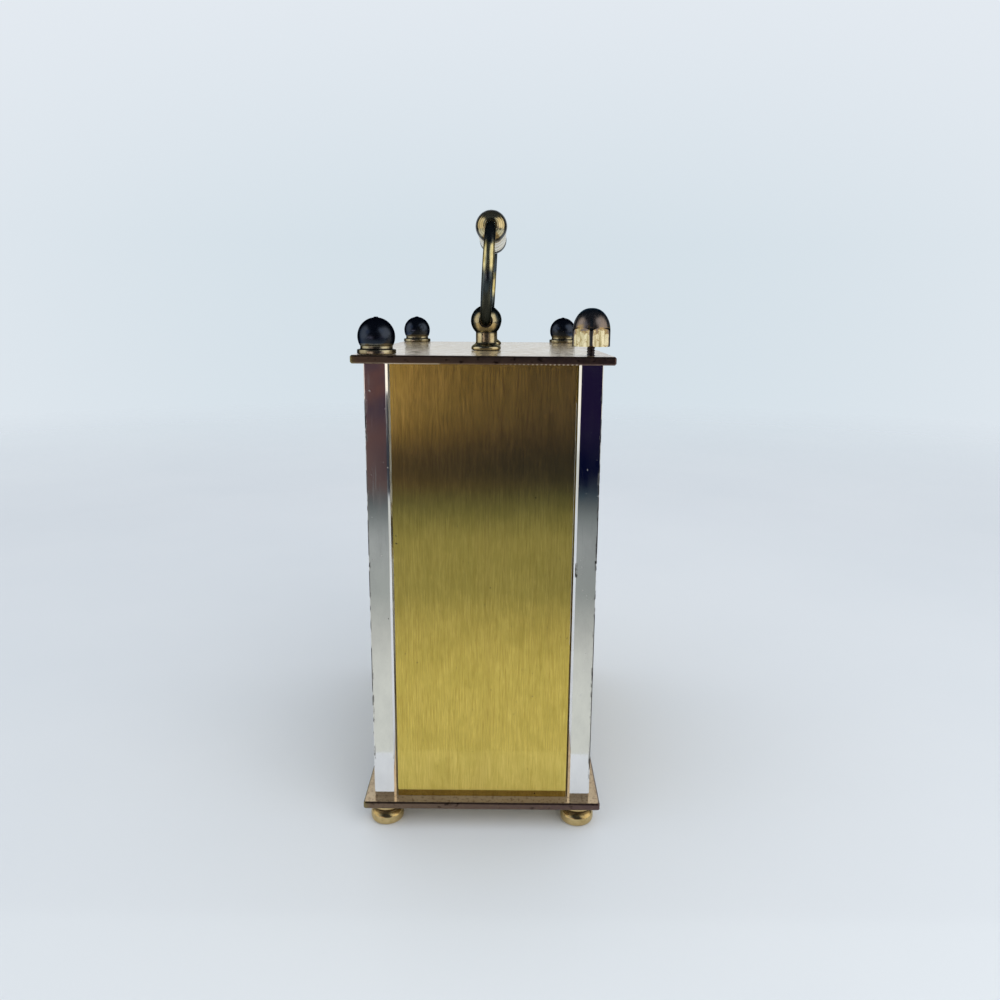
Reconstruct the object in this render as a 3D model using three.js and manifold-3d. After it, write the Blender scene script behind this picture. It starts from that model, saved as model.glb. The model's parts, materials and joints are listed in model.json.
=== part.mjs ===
// A small brass carriage clock with four bright corner posts, a bail handle and a battery movement.
// Millimetres. X is the width (right is +X), Y the depth (front is -Y, back is +Y), Z is up.
// The origin lies on the table under the middle of the clock.
import * as THREE from "three";
import { mergeVertices } from "three/addons/utils/BufferGeometryUtils.js";
import Module from "manifold-3d";

const wasm = await Module();
wasm.setup();

// Case
const bodyWidth = 71;
const bodyDepth = 39.8;
const plateTopHeight = 86.6;
const plateThickness = 1.4;
const plateOverhang = 1.9;
const plateCornerRadius = 0.4;
const plateEdgeRound = 0.25;
const postSide = 4;
const postChamfer = 0.4;
const postOuterChamfer = 0.1;
const panelThickness = 1;
const panelRecess = 0.4;

// Clearances: between pieces that must pass each other, between flat seats, and round a thread
const gap = 0.3;
const seat = 0.05;
const threadGap = 0.1;
const overrun = 1;

// Tie rods and what sits on their ends
const rodRadius = 0.7;
const footHeight = 4;
const footRadius = 3.1;
const footWaistRadius = 2.4;
const footFlatRadius = 2.6;
const footSolidHeight = 1.2;
const finialCollarRadius = 3.25;
const finialCollarHeight = 0.9;
const finialNeckRadius = 2.75;
const finialNeckHeight = 0.45;
const finialBallRadius = 3.13;
const finialNubRadius = 0.4;
const finialNubHeight = 0.1;
const finialBoreDepth = 3.2;
const capNutFlats = 6.2;
const capNutHexHeight = 3.05;
const capNutHeight = 6.25;
const capNutChamfer = 0.55;
const capNutTurn = -6;
const capNutSwellShare = 1.6;
const capNutCrownShare = 0.43;
const capNutBoreDepth = 3.4;
const capNutStandOff = 1.55;

// Handle: its two posts, the turned grip and the two bent arms
const handleHalfSpan = 14;
const pivotHeight = 5.45;
const gripHeight = 22.5;
const handleLean = 3;
const handlePostFootRadius = 2.8;
const handlePostFootHeight = 0.8;
const handlePostNeckRadius = 1.95;
const handlePostBallRadius = 2.88;
const handleStudRadius = 1;
const handleNutFlats = 4;
const handleNutHeight = 1.4;
const handleNutStick = 0.5;
const armRadius = 1;
const armPinDepth = 1.5;
const gripBallRadius = 2.94;
const gripNeckRadius = 1.5;
const gripNeckLength = 0.6;
const gripBarrelRadius = 2.8;
const gripGrooveRadius = 2.4;
const gripGrooveWidth = 0.8;
const gripGrooveSpacing = 7;

// Front: frame, glass, dial and hands
const frameThickness = 1.2;
const frameRecess = 0.6;
const frameSideBorder = 6.2;
const frameEndBorder = 6.85;
const windowCornerRadius = 1.5;
const glassThickness = 1.2;
const glassToHands = 0.15;
const dialThickness = 0.8;
const dialRise = 2;
const dialMarkRadius = 23.2;
const dialMarkLength = 3;
const dialMarkWidth = 0.9;
const dialMarkHeight = 0.25;
const hourHandLength = 13.5;
const minuteHandLength = 20;
const handThickness = 0.4;
const hourHandWidth = 2.6;
const minuteHandWidth = 2;
const handTail = 4.6;
const handTipWidth = 0.4;
const hourHandAngle = 304;
const minuteHandAngle = 48;

// Back panel with the opening to the movement
const backThickness = 1;
const backRecess = 0.6;
const accessSideBorder = 2.7;
const accessTopBorder = 9.35;
const accessBottomBorder = 13.35;

// Movement case, with its free room in front of the cover and under the train
const movementWall = 1.2;
const coverRoom = 2.1;
const trainRoom = 0.88;
const movementCornerRadius = 2;
const septumThickness = 1;
const batteryRadius = 7.25;
const batteryLength = 50.5;
const batteryNubRadius = 2.75;
const batteryNubLength = 1.5;
const batteryRound = 0.6;
const contactThickness = 0.4;
const contactWidth = 8;
const contactHeight = 11;
const contactBumpRadius = 1.8;
const contactBumpLength = 0.8;
const bossRadius = 1.6;
const pivotRadius = 0.5;
const pivotLength = 0.8;
const arborRadius = 0.9;

// Centre of the dial: the tubes inside each other, the threaded neck, its washer and nut
const minuteArborRadius = 1.4;
const minutePinRadius = 1;
const hourTubeWall = 0.6;
const neckWall = 1.2;
const neckStick = 0.25;
const washerThickness = 0.4;
const washerRadius = 6.6;
const neckNutFlats = 11;
const neckNutThickness = 1.8;
const hourTubeReach = 4.3;
const minuteArborReach = 5.9;
const handShoulder = 0.5;
const minuteNutRadius = 1.9;
const minuteNutHeight = 1;

// The gear train, whose wheels lie in layers from the dial to the cover
const wheelThickness = 0.8;
const layerPitch = 1.3;
const bridgeThickness = 0.8;
const magnetRadius = 2.5;
const magnetLength = 2;
const toothAddendumShare = 0.55;
const toothDedendumShare = 0.95;
const toothTipWidthShare = 0.18;
const pinionTeeth = 6;
const cannonTeeth = 8;
const motionTeeth = 24;
const hourTeeth = 24;
const secondsTeeth = 24;
const thirdTeeth = 45;
const intermediateTeeth = 45;
const centreTeeth = 48;
const cannonModule = 0.5;
const centreModule = 0.4;
const secondsModule = 0.7;
const rotorModule = 0.4;
const motionAngle = -20;
const setAngle = 20;
const thirdAngle = 145;
const intermediateAngle = 60;
const rotorAngle = 137;

// Knob, coil, stator and circuit board
const knobRadius = 7;
const knobHeight = 4;
const knobRidges = 24;
const knobShaftRadius = 1.2;
const coilRadius = 2.9;
const coilLength = 15;
const bobbinFlangeThickness = 0.8;
const bobbinBarrelRadius = 2.2;
const coreWidth = 2.6;
const coreThickness = 0.8;
const statorThickness = 0.8;
const statorLegWidth = 3.2;
const statorCoilRoom = 1.3;
const statorMargin = 3;
const boardWidth = 10;
const boardHeight = 30;
const boardThickness = 0.8;
const boardLift = 7.4;
const chipSide = 4;
const chipHeight = 0.9;
const crystalRadius = 1;
const crystalLength = 6;

// Facets round a turned piece
const fine = 20;
const medium = 16;
const coarse = 10;
const armSides = 8;
const armSteps = 20;
const ballSteps = 7;

// Values that follow from the sizes above
const half = 1 / 2;
const plateBottom = plateTopHeight - plateThickness;
const baseTop = footHeight + plateThickness;
const insideBottom = baseTop + seat;
const insideHeight = plateBottom - baseTop - seat - seat;
const insideMiddle = (plateBottom + baseTop) * half;
const frontY = -bodyDepth * half;
const backY = bodyDepth * half;
const rightX = bodyWidth * half;
const postX = rightX - postSide * half;
const postY = backY - postSide * half;
const betweenPostsX = bodyWidth - postSide - postSide - gap - gap;
const betweenPostsY = bodyDepth - postSide - postSide - gap - gap;
const panelInnerX = rightX - panelRecess - panelThickness;
const windowWidth = betweenPostsX - frameSideBorder - frameSideBorder;
const windowHeight = insideHeight - frameEndBorder - frameEndBorder;
const accessWidth = betweenPostsX - accessSideBorder - accessSideBorder;
const accessHeight = insideHeight - accessTopBorder - accessBottomBorder;
const accessRise = (accessBottomBorder - accessTopBorder) * half;
const handStack = minuteArborReach + handThickness + seat + seat + minuteNutHeight;
const dialSetBack = frameRecess + frameThickness + seat + glassThickness + glassToHands + handStack;
const dialFront = frontY + dialSetBack;
const trayFront = dialFront + dialThickness + seat;
const trayFloor = movementWall;
const neckLength = seat + dialThickness + seat + washerThickness + seat + neckNutThickness + neckStick;
const dialCentreZ = insideMiddle + dialRise;
const centreTipRadius = centreModule * (centreTeeth * half + toothAddendumShare);
const movementInner = batteryLength * half + gap + contactBumpLength + contactThickness + seat;
const movementSide = movementInner + movementInner + movementWall + movementWall;
const septumZ = -centreTipRadius - trainRoom - septumThickness;
const bayBottom = septumZ - gap - batteryRadius - batteryRadius - gap;
const movementHeight = movementInner - bayBottom + movementWall + movementWall;
const movementMiddle = (movementInner + bayBottom) * half;
const frontLayers = [0, 1, 2, 3];
const bridgeY = trayFloor + gap + frontLayers.length * layerPitch;
const layers = [
  ...frontLayers.map((n) => trayFloor + gap + n * layerPitch),
  ...[0, 1].map((n) => bridgeY + bridgeThickness + gap + n * layerPitch),
];
const magnetFront = layers[5] + wheelThickness + gap;
const coverInside = magnetFront + magnetLength + coverRoom;
const movementDepth = coverInside + movementWall;
const thirdDistance = (centreModule * (centreTeeth + pinionTeeth)) * half;
const thirdModule = (thirdDistance + thirdDistance) / (thirdTeeth + pinionTeeth);
const motionDistance = cannonModule * (motionTeeth + cannonTeeth) * half;
const hourModule = (motionDistance + motionDistance) / (hourTeeth + pinionTeeth);
const intermediateDistance = secondsModule * (secondsTeeth + pinionTeeth) * half;
const rotorDistance = rotorModule * (intermediateTeeth + pinionTeeth) * half;

const radians = THREE.MathUtils.degToRad;
const group = new THREE.Group();
const v2 = (x, y) => new THREE.Vector2(x, y);

// Solids and meshes
function solid(geometry) {
  const bare = geometry.clone();
  bare.deleteAttribute("normal");
  bare.deleteAttribute("uv");
  const merged = mergeVertices(bare);
  const vertProperties = new Float32Array(merged.attributes.position.array);
  const triVerts = new Uint32Array(merged.index.array);
  return new wasm.Manifold(new wasm.Mesh({ numProp: 3, vertProperties, triVerts }));
}

function geometryOf(manifold) {
  const mesh = manifold.getMesh();
  const geometry = new THREE.BufferGeometry();
  const places = new Float32Array(mesh.vertProperties);
  geometry.setAttribute("position", new THREE.BufferAttribute(places, mesh.numProp));
  geometry.setIndex(new THREE.BufferAttribute(new Uint32Array(mesh.triVerts), 1));
  const flat = geometry.toNonIndexed();
  flat.computeVertexNormals();
  return flat;
}

function finish(color, roughness, metalness) {
  return { color, roughness, metalness };
}

function piece(name, shape, look, place = {}, parent = group) {
  const geometry = shape.isBufferGeometry ? shape : geometryOf(shape);
  const mesh = new THREE.Mesh(geometry, new THREE.MeshStandardMaterial(look));
  mesh.name = name;
  mesh.position.set(place.x ?? 0, place.y ?? 0, place.z ?? 0);
  mesh.rotation.set(place.turnX ?? 0, place.turnY ?? 0, place.turnZ ?? 0);
  parent.add(mesh);
  return mesh;
}

// Building shapes. Flat shapes are drawn as seen from the front, X to the right and Z up.
function block(width, depth, height, x = 0, y = 0, z = 0) {
  return solid(new THREE.BoxGeometry(width, depth, height).translate(x, y, z));
}

function turnedUpright(profile, segments) {
  return new THREE.LatheGeometry(profile, segments).rotateX(Math.PI * half);
}

function turnedAlongDepth(profile, segments) {
  return new THREE.LatheGeometry(profile, segments);
}

function rod(radius, from, to) {
  return [v2(0, from), v2(radius, from), v2(radius, to), v2(0, to)];
}

function uprightRod(radius, from, to, segments, x = 0, y = 0) {
  return solid(turnedUpright(rod(radius, from, to), segments).translate(x, y, 0));
}

function depthRod(radius, from, to, segments, x = 0, z = 0) {
  return solid(turnedAlongDepth(rod(radius, from, to), segments).translate(x, 0, z));
}

function roundedRectangle(width, height, radius) {
  const x = width * half;
  const y = height * half;
  const shape = new THREE.Shape();
  shape.moveTo(x, -y + radius);
  shape.lineTo(x, y - radius);
  shape.absarc(x - radius, y - radius, radius, 0, Math.PI * half, false);
  shape.lineTo(-x + radius, y);
  shape.absarc(-x + radius, y - radius, radius, Math.PI * half, Math.PI, false);
  shape.lineTo(-x, -y + radius);
  shape.absarc(-x + radius, -y + radius, radius, Math.PI, Math.PI * 1.5, false);
  shape.lineTo(x - radius, -y);
  shape.absarc(x - radius, -y + radius, radius, Math.PI * 1.5, Math.PI * 2, false);
  return shape;
}

// A flat shape extruded through the depth, from front to front + thickness
function slab(shape, front, thickness, curveSegments = 2, z = 0) {
  const settings = { depth: thickness, bevelEnabled: false, curveSegments };
  const geometry = new THREE.ExtrudeGeometry(shape, settings).rotateX(Math.PI * half);
  return solid(geometry.translate(0, front + thickness, z));
}

// Case
function plateSolid(holes) {
  const width = bodyWidth + plateOverhang + plateOverhang;
  const depth = bodyDepth + plateOverhang + plateOverhang;
  const outline = roundedRectangle(width, depth, plateCornerRadius);
  const geometry = new THREE.ExtrudeGeometry(outline, {
    depth: plateThickness - plateEdgeRound - plateEdgeRound,
    bevelThickness: plateEdgeRound,
    bevelSize: plateEdgeRound,
    bevelOffset: -plateEdgeRound,
    bevelSegments: 1,
    curveSegments: 2,
  });
  let plate = solid(geometry.translate(0, 0, plateEdgeRound));
  for (const [x, y, radius] of holes) {
    plate = plate.subtract(uprightRod(radius, -overrun, plateThickness + overrun, coarse, x, y));
  }
  return plate;
}

function cornerPlaces() {
  return [
    { name: "front_right", x: postX, y: -postY, quarterTurns: 3 },
    { name: "front_left", x: -postX, y: -postY, quarterTurns: 2 },
    { name: "rear_right", x: postX, y: postY, quarterTurns: 0 },
    { name: "rear_left", x: -postX, y: postY, quarterTurns: 1 },
  ];
}

// A square post, drawn for the rear right corner and turned for the others. Its outer corner is sharper.
function postGeometry(length, quarterTurns) {
  const s = postSide * half;
  const c = postChamfer;
  const o = postOuterChamfer;
  const outline = new THREE.Shape([
    v2(s, -s + c), v2(s, s - o), v2(s - o, s), v2(-s + c, s),
    v2(-s, s - c), v2(-s, -s + c), v2(-s + c, -s), v2(s - c, -s),
  ]);
  const bore = new THREE.Path();
  bore.absarc(0, 0, rodRadius + gap, 0, Math.PI * 2, true);
  outline.holes.push(bore);
  const post = new THREE.ExtrudeGeometry(outline, { depth: length, bevelEnabled: false, curveSegments: 6 });
  return post.rotateZ(quarterTurns * Math.PI * half);
}

function footGeometry() {
  const bore = rodRadius + threadGap;
  return turnedUpright([
    v2(0, 0), v2(footFlatRadius, 0), v2(footRadius, footHeight * 0.2), v2(footRadius, footHeight * 0.45),
    v2(footWaistRadius, footHeight * 0.65), v2(footRadius, footHeight * 0.85),
    v2(footRadius, footHeight - seat), v2(bore, footHeight - seat),
    v2(bore, footSolidHeight), v2(0, footSolidHeight),
  ], medium);
}

function finialGeometry() {
  const bore = rodRadius + threadGap;
  const neckTop = finialCollarHeight + finialNeckHeight;
  const sink = Math.sqrt(finialBallRadius ** 2 - finialNeckRadius ** 2);
  const centre = neckTop + sink;
  const from = -Math.asin(sink / finialBallRadius);
  const to = Math.acos(finialNubRadius / finialBallRadius);
  const ball = new THREE.EllipseCurve(0, centre, finialBallRadius, finialBallRadius, from, to, false);
  const nubTop = centre + finialBallRadius + finialNubHeight;
  return turnedUpright([
    v2(0, finialBoreDepth), v2(bore, finialBoreDepth), v2(bore, 0),
    v2(finialCollarRadius, 0), v2(finialCollarRadius, finialCollarHeight),
    v2(finialNeckRadius, finialCollarHeight), ...ball.getPoints(ballSteps),
    v2(finialNubRadius, nubTop), v2(0, nubTop),
  ], fine);
}

function capNutSolid() {
  const corner = capNutFlats * half / Math.cos(Math.PI / 6);
  const hex = new THREE.CylinderGeometry(corner, corner, capNutHeight, 6).rotateX(Math.PI * half);
  hex.rotateZ(Math.PI * half + radians(capNutTurn)).translate(0, 0, capNutHeight * half);
  const prism = solid(hex);
  const domeRadius = capNutFlats * half;
  const domeHeight = capNutHeight - capNutHexHeight;
  const dome = [];
  for (let i = 1; i < ballSteps; i++) {
    const rise = Math.sin(Math.PI * half * i / ballSteps);
    const radius = domeRadius * (1 - rise ** capNutSwellShare) ** capNutCrownShare;
    dome.push(v2(radius, capNutHexHeight + domeHeight * rise));
  }
  const envelope = solid(turnedUpright([
    v2(0, 0), v2(corner - capNutChamfer, 0), v2(corner, capNutChamfer),
    v2(corner, capNutHexHeight - capNutChamfer), v2(domeRadius, capNutHexHeight),
    ...dome, v2(0, capNutHeight),
  ], fine));
  const bore = uprightRod(rodRadius + threadGap, -overrun, capNutBoreDepth, coarse);
  return prism.intersect(envelope).subtract(bore);
}

function buildCase() {
  const brass = finish(0xb79a4e, 0.35, 1);
  const darkBrass = finish(0x6b5636, 0.4, 1);
  const bright = finish(0xd8d8d6, 0.08, 1);
  const boltHoles = cornerPlaces().map((c) => [c.x, c.y, rodRadius + gap]);
  const handleHoles = [1, -1].map((side) => [side * handleHalfSpan, 0, handleStudRadius + gap]);
  piece("base_plate", plateSolid(boltHoles), brass, { z: footHeight });
  piece("top_plate", plateSolid([...boltHoles, ...handleHoles]), darkBrass, { z: plateBottom });
  for (const corner of cornerPlaces()) {
    const at = { x: corner.x, y: corner.y };
    const raised = corner.name === "rear_right";
    const finialFoot = plateTopHeight + (raised ? capNutStandOff : seat);
    const rodTop = finialFoot + (raised ? capNutBoreDepth : finialBoreDepth) - gap;
    const rodBottom = footSolidHeight + gap;
    const post = postGeometry(insideHeight, corner.quarterTurns);
    piece(`post_${corner.name}`, post, bright, { ...at, z: insideBottom });
    const tieRod = turnedUpright(rod(rodRadius, rodBottom, rodTop), coarse);
    piece(`tie_rod_${corner.name}`, tieRod, darkBrass, at);
    piece(`foot_${corner.name}`, footGeometry(), brass, at);
    if (raised) {
      piece("cap_nut_rear_right", capNutSolid(), darkBrass, { ...at, z: finialFoot });
    } else {
      piece(`finial_${corner.name}`, finialGeometry(), darkBrass, { ...at, z: finialFoot });
    }
  }
  for (const [name, side] of [["right", 1], ["left", -1]]) {
    const panel = new THREE.BoxGeometry(panelThickness, betweenPostsY, insideHeight);
    const x = side * (panelInnerX + panelThickness * half);
    piece(`side_panel_${name}`, panel, brass, { x, z: insideMiddle });
  }
}

// Handle
function handlePostSolid() {
  const neckTop = pivotHeight - Math.sqrt(handlePostBallRadius ** 2 - handlePostNeckRadius ** 2);
  const start = Math.atan2(neckTop - pivotHeight, handlePostNeckRadius);
  const ball = new THREE.EllipseCurve(0, pivotHeight, handlePostBallRadius, handlePostBallRadius, start,
    Math.PI * half, false);
  const studEnd = -plateThickness - handleNutHeight - handleNutStick;
  return solid(turnedUpright([
    v2(0, studEnd), v2(handleStudRadius, studEnd), v2(handleStudRadius, 0), v2(handlePostFootRadius, 0),
    v2(handlePostFootRadius, handlePostFootHeight),
    v2(handlePostNeckRadius, handlePostFootHeight + handlePostFootHeight),
    ...ball.getPoints(ballSteps).slice(0, -1), v2(0, pivotHeight + handlePostBallRadius),
  ], fine));
}

function pivotBore(side) {
  const from = handlePostBallRadius - armPinDepth - gap;
  const length = armPinDepth + gap + overrun;
  const bore = new THREE.CylinderGeometry(armRadius + gap, armRadius + gap, length, coarse);
  return solid(bore.rotateZ(Math.PI * half).translate(side * (from + length * half), 0, pivotHeight));
}

function hexNut(flats, height, boreRadius) {
  const outline = new THREE.Shape();
  const corner = flats * half / Math.cos(Math.PI / 6);
  for (let i = 0; i < 6; i++) {
    const angle = i * Math.PI / 3;
    const point = [corner * Math.cos(angle), corner * Math.sin(angle)];
    if (i === 0) outline.moveTo(...point);
    else outline.lineTo(...point);
  }
  const bore = new THREE.Path();
  bore.absarc(0, 0, boreRadius, 0, Math.PI * 2, true);
  outline.holes.push(bore);
  return new THREE.ExtrudeGeometry(outline, { depth: height, bevelEnabled: false, curveSegments: 8 });
}

// An arm's centre line: straight out of the grip, round a half circle, straight into the post's ball
class ArmCurve extends THREE.Curve {
  constructor(side, reach, straight, radius) {
    super();
    Object.assign(this, { side, reach, straight, radius });
  }

  getPoint(t, target = new THREE.Vector3()) {
    const arc = Math.PI * this.radius;
    const along = t * (this.straight + arc + this.straight);
    const angle = THREE.MathUtils.clamp((along - this.straight) / this.radius, 0, Math.PI);
    const inward = Math.max(this.straight - along, along - this.straight - arc, 0);
    const x = this.reach - inward + this.radius * Math.sin(angle);
    return target.set(this.side * x, 0, this.radius + this.radius * Math.cos(angle));
  }
}

function armGeometry(side) {
  const section = new THREE.Shape();
  section.absarc(0, 0, armRadius, 0, Math.PI * 2, false);
  const reach = handleHalfSpan + handlePostBallRadius;
  const extrudePath = new ArmCurve(side, reach, armPinDepth, (gripHeight - pivotHeight) * half);
  const curveSegments = armSides * half;
  return new THREE.ExtrudeGeometry(section, { steps: armSteps, extrudePath, curveSegments });
}

function gripSolid() {
  const ballEdge = Math.sqrt(gripBallRadius ** 2 - gripNeckRadius ** 2);
  const outer = handleHalfSpan + gripBallRadius;
  const ballAngle = Math.atan2(gripNeckRadius, -ballEdge);
  const ball = new THREE.EllipseCurve(0, handleHalfSpan, gripBallRadius, gripBallRadius, Math.PI * half,
    Math.PI * half - ballAngle, true);
  const barrelEnd = handleHalfSpan - ballEdge - gripNeckLength;
  const ridge = gripGrooveWidth * half;
  const halfProfile = [
    v2(0, outer), ...ball.getPoints(ballSteps).slice(1), v2(gripNeckRadius, barrelEnd),
    v2(gripBarrelRadius - ridge, barrelEnd), v2(gripBarrelRadius, barrelEnd - ridge),
    v2(gripBarrelRadius, gripGrooveSpacing + ridge), v2(gripGrooveRadius, gripGrooveSpacing),
    v2(gripBarrelRadius, gripGrooveSpacing - ridge), v2(gripBarrelRadius, ridge),
  ];
  const mirrored = halfProfile.map((p) => v2(p.x, -p.y));
  const profile = [...mirrored, v2(gripGrooveRadius, 0), ...halfProfile.reverse()];
  const turned = new THREE.LatheGeometry(profile, fine);
  let bar = solid(turned.rotateZ(-Math.PI * half));
  for (const side of [1, -1]) {
    const from = handlePostBallRadius - armPinDepth - threadGap;
    const length = armPinDepth + threadGap + overrun;
    const bore = new THREE.CylinderGeometry(armRadius + threadGap, armRadius + threadGap, length, medium);
    bore.rotateZ(Math.PI * half).translate(side * (handleHalfSpan + from + length * half), 0, 0);
    bar = bar.subtract(solid(bore));
  }
  return bar;
}

function buildHandle() {
  const aged = finish(0x8a7440, 0.3, 1);
  const pivot = new THREE.Group();
  pivot.position.set(0, 0, plateTopHeight + pivotHeight);
  pivot.rotation.x = radians(-handleLean);
  group.add(pivot);
  const nutTop = plateBottom - seat;
  for (const [name, side] of [["right", 1], ["left", -1]]) {
    const post = handlePostSolid().subtract(pivotBore(side));
    piece(`handle_post_${name}`, post, aged, { x: side * handleHalfSpan, z: plateTopHeight + seat });
    const nut = hexNut(handleNutFlats, handleNutHeight, handleStudRadius + threadGap);
    piece(`handle_nut_${name}`, nut, aged, { x: side * handleHalfSpan, z: nutTop - handleNutHeight });
    piece(`handle_arm_${name}`, armGeometry(side), aged, {}, pivot);
  }
  piece("handle_grip", gripSolid(), aged, { z: gripHeight - pivotHeight }, pivot);
}

// Front, dial and back
function buildFront() {
  const brass = finish(0xc2a557, 0.3, 1);
  const frameShape = roundedRectangle(betweenPostsX, insideHeight, seat);
  frameShape.holes.push(roundedRectangle(windowWidth, windowHeight, windowCornerRadius));
  const frameFront = frontY + frameRecess;
  piece("front_frame", slab(frameShape, frameFront, frameThickness, 3), brass, { z: insideMiddle });
  const glass = new THREE.BoxGeometry(betweenPostsX, glassThickness, insideHeight);
  const glassY = frameFront + frameThickness + seat + glassThickness * half;
  const clear = { ...finish(0xeef4f6, 0.05, 0), transparent: true, opacity: 0.3 };
  piece("front_glass", glass, clear, { y: glassY, z: insideMiddle });
  piece("dial", dialSolid(), finish(0xf1ead8, 0.6, 0), { z: insideMiddle });
  const backShape = roundedRectangle(betweenPostsX, insideHeight, seat);
  const access = roundedRectangle(accessWidth, accessHeight, movementCornerRadius);
  backShape.holes.push(new THREE.Path(access.getPoints(2).map((p) => v2(p.x, p.y + accessRise))));
  const back = slab(backShape, backY - backRecess - backThickness, backThickness);
  piece("back_panel", back, brass, { z: insideMiddle });
}

function dialSolid() {
  const width = panelInnerX + panelInnerX - gap - gap;
  let dial = block(width, dialThickness, insideHeight, 0, dialFront + dialThickness * half);
  const markDepth = dialMarkHeight + dialThickness * half;
  for (let hour = 0; hour < 12; hour++) {
    const mark = new THREE.BoxGeometry(dialMarkWidth, markDepth, dialMarkLength);
    mark.translate(0, 0, dialMarkRadius - dialMarkLength * half).rotateY(hour * Math.PI / 6);
    mark.translate(0, dialFront - dialMarkHeight + markDepth * half, dialRise);
    dial = dial.add(solid(mark));
  }
  const through = [dialFront - overrun, dialFront + dialThickness + overrun];
  return dial.subtract(depthRod(neckRadius + gap, ...through, fine, 0, dialRise));
}

// Movement. Its pieces are placed in a group whose origin is the tray's front face at the dial's centre.
const hourTubeInner = minuteArborRadius + gap;
const hourTubeOuter = hourTubeInner + hourTubeWall;
const neckBore = hourTubeOuter + gap;
const neckRadius = neckBore + neckWall;
const movement = new THREE.Group();
movement.position.set(0, trayFront, dialCentreZ);
group.add(movement);
const plasticBlack = finish(0x1c1c1e, 0.5, 0);
const plasticWheel = finish(0xe9e4d4, 0.5, 0);
const gearBrass = finish(0xc9a44c, 0.3, 1);
const steel = finish(0xb8bbc0, 0.25, 1);

function polar(distance, degrees, from = v2(0, 0)) {
  const angle = radians(degrees);
  return v2(from.x + distance * Math.cos(angle), from.y + distance * Math.sin(angle));
}

const motionPlace = polar(motionDistance, motionAngle);
const setPlace = polar(motionDistance, setAngle, motionPlace);
const thirdPlace = polar(thirdDistance, thirdAngle);
const intermediatePlace = polar(intermediateDistance, intermediateAngle);
const rotorPlace = polar(rotorDistance, rotorAngle, intermediatePlace);

function gearShape(teeth, module, phase) {
  const pitchRadius = teeth * module * half;
  const tipRadius = pitchRadius + module * toothAddendumShare;
  const rootRadius = pitchRadius - module * toothDedendumShare;
  const step = Math.PI * 2 / teeth;
  const tipHalf = step * toothTipWidthShare * half;
  const points = [];
  for (let tooth = 0; tooth < teeth; tooth++) {
    const centre = phase + tooth * step;
    const corners = [[tipRadius, -tipHalf], [tipRadius, tipHalf], [rootRadius, step * half]];
    for (const [radius, offset] of corners) {
      points.push(v2(radius * Math.cos(centre + offset), radius * Math.sin(centre + offset)));
    }
  }
  return new THREE.Shape(points);
}

function gear(teeth, module, phase, layer, thickness = wheelThickness) {
  return slab(gearShape(teeth, module, phase), layers[layer], thickness);
}

// The tooth angle that puts a follower in mesh with its driver, which lies at the given direction from it
function meshPhase(driverTeeth, driverPhase, direction, followerTeeth) {
  const driverStep = Math.PI * 2 / driverTeeth;
  const followerStep = Math.PI * 2 / followerTeeth;
  const share = (radians(direction) - driverPhase) / driverStep;
  return radians(direction) + Math.PI - (half - share) * followerStep;
}

function arbor(from, to) {
  return depthRod(arborRadius, from + pivotLength, to - pivotLength, coarse)
    .add(depthRod(pivotRadius, from, to, coarse));
}

const backBossReach = 0.6;
const motionPhase = meshPhase(cannonTeeth, 0, motionAngle, motionTeeth);
const thirdPinionPhase = 0;
const secondsPinionPhase = 0;
const thirdPhase = meshPhase(pinionTeeth, secondsPinionPhase, thirdAngle, thirdTeeth);
const centrePhase = meshPhase(pinionTeeth, thirdPinionPhase, thirdAngle + 180, centreTeeth);
const intermediatePinionPhase = meshPhase(secondsTeeth, 0, intermediateAngle, pinionTeeth);
const rotorPhase = meshPhase(intermediateTeeth, 0, rotorAngle, pinionTeeth);
const setPhase = meshPhase(motionTeeth, motionPhase, setAngle, cannonTeeth);
const hourPhase = meshPhase(pinionTeeth, 0, motionAngle + 180, hourTeeth);

function bossHole(x, z, from, to) {
  return depthRod(pivotRadius + gap, from, to, coarse, x, z);
}

function traySolid() {
  const outline = roundedRectangle(movementSide, movementHeight, movementCornerRadius);
  const upperTop = movementInner;
  const upperBottom = septumZ + septumThickness;
  const inner = movementInner + movementInner;
  let tray = slab(outline, 0, coverInside - seat, 3, movementMiddle);
  const upper = block(inner, movementDepth, upperTop - upperBottom, 0, trayFloor + movementDepth * half,
    (upperTop + upperBottom) * half);
  const bay = block(inner, movementDepth, septumZ - bayBottom, 0, trayFloor + movementDepth * half,
    (septumZ + bayBottom) * half);
  tray = tray.subtract(upper).subtract(bay);
  tray = tray.add(depthRod(neckRadius, -neckLength, trayFloor * half, fine));
  tray = tray.subtract(depthRod(neckBore, -neckLength - overrun, trayFloor + overrun, fine));
  tray = tray.add(depthRod(pivotRadius, trayFloor * half, layers[1] + wheelThickness + gap, coarse,
    motionPlace.x, motionPlace.y));
  for (const place of [setPlace, thirdPlace]) {
    tray = tray.subtract(bossHole(place.x, place.y, trayFloor - pivotLength, trayFloor + overrun));
  }
  for (const [places, top] of [[boardPosts, trayFloor + boardLift], [bridgePosts, bridgeY]]) {
    for (const place of places) {
      tray = tray.add(depthRod(bossRadius, trayFloor * half, top - seat, coarse, place.x, place.y));
    }
  }
  return tray;
}

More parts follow.
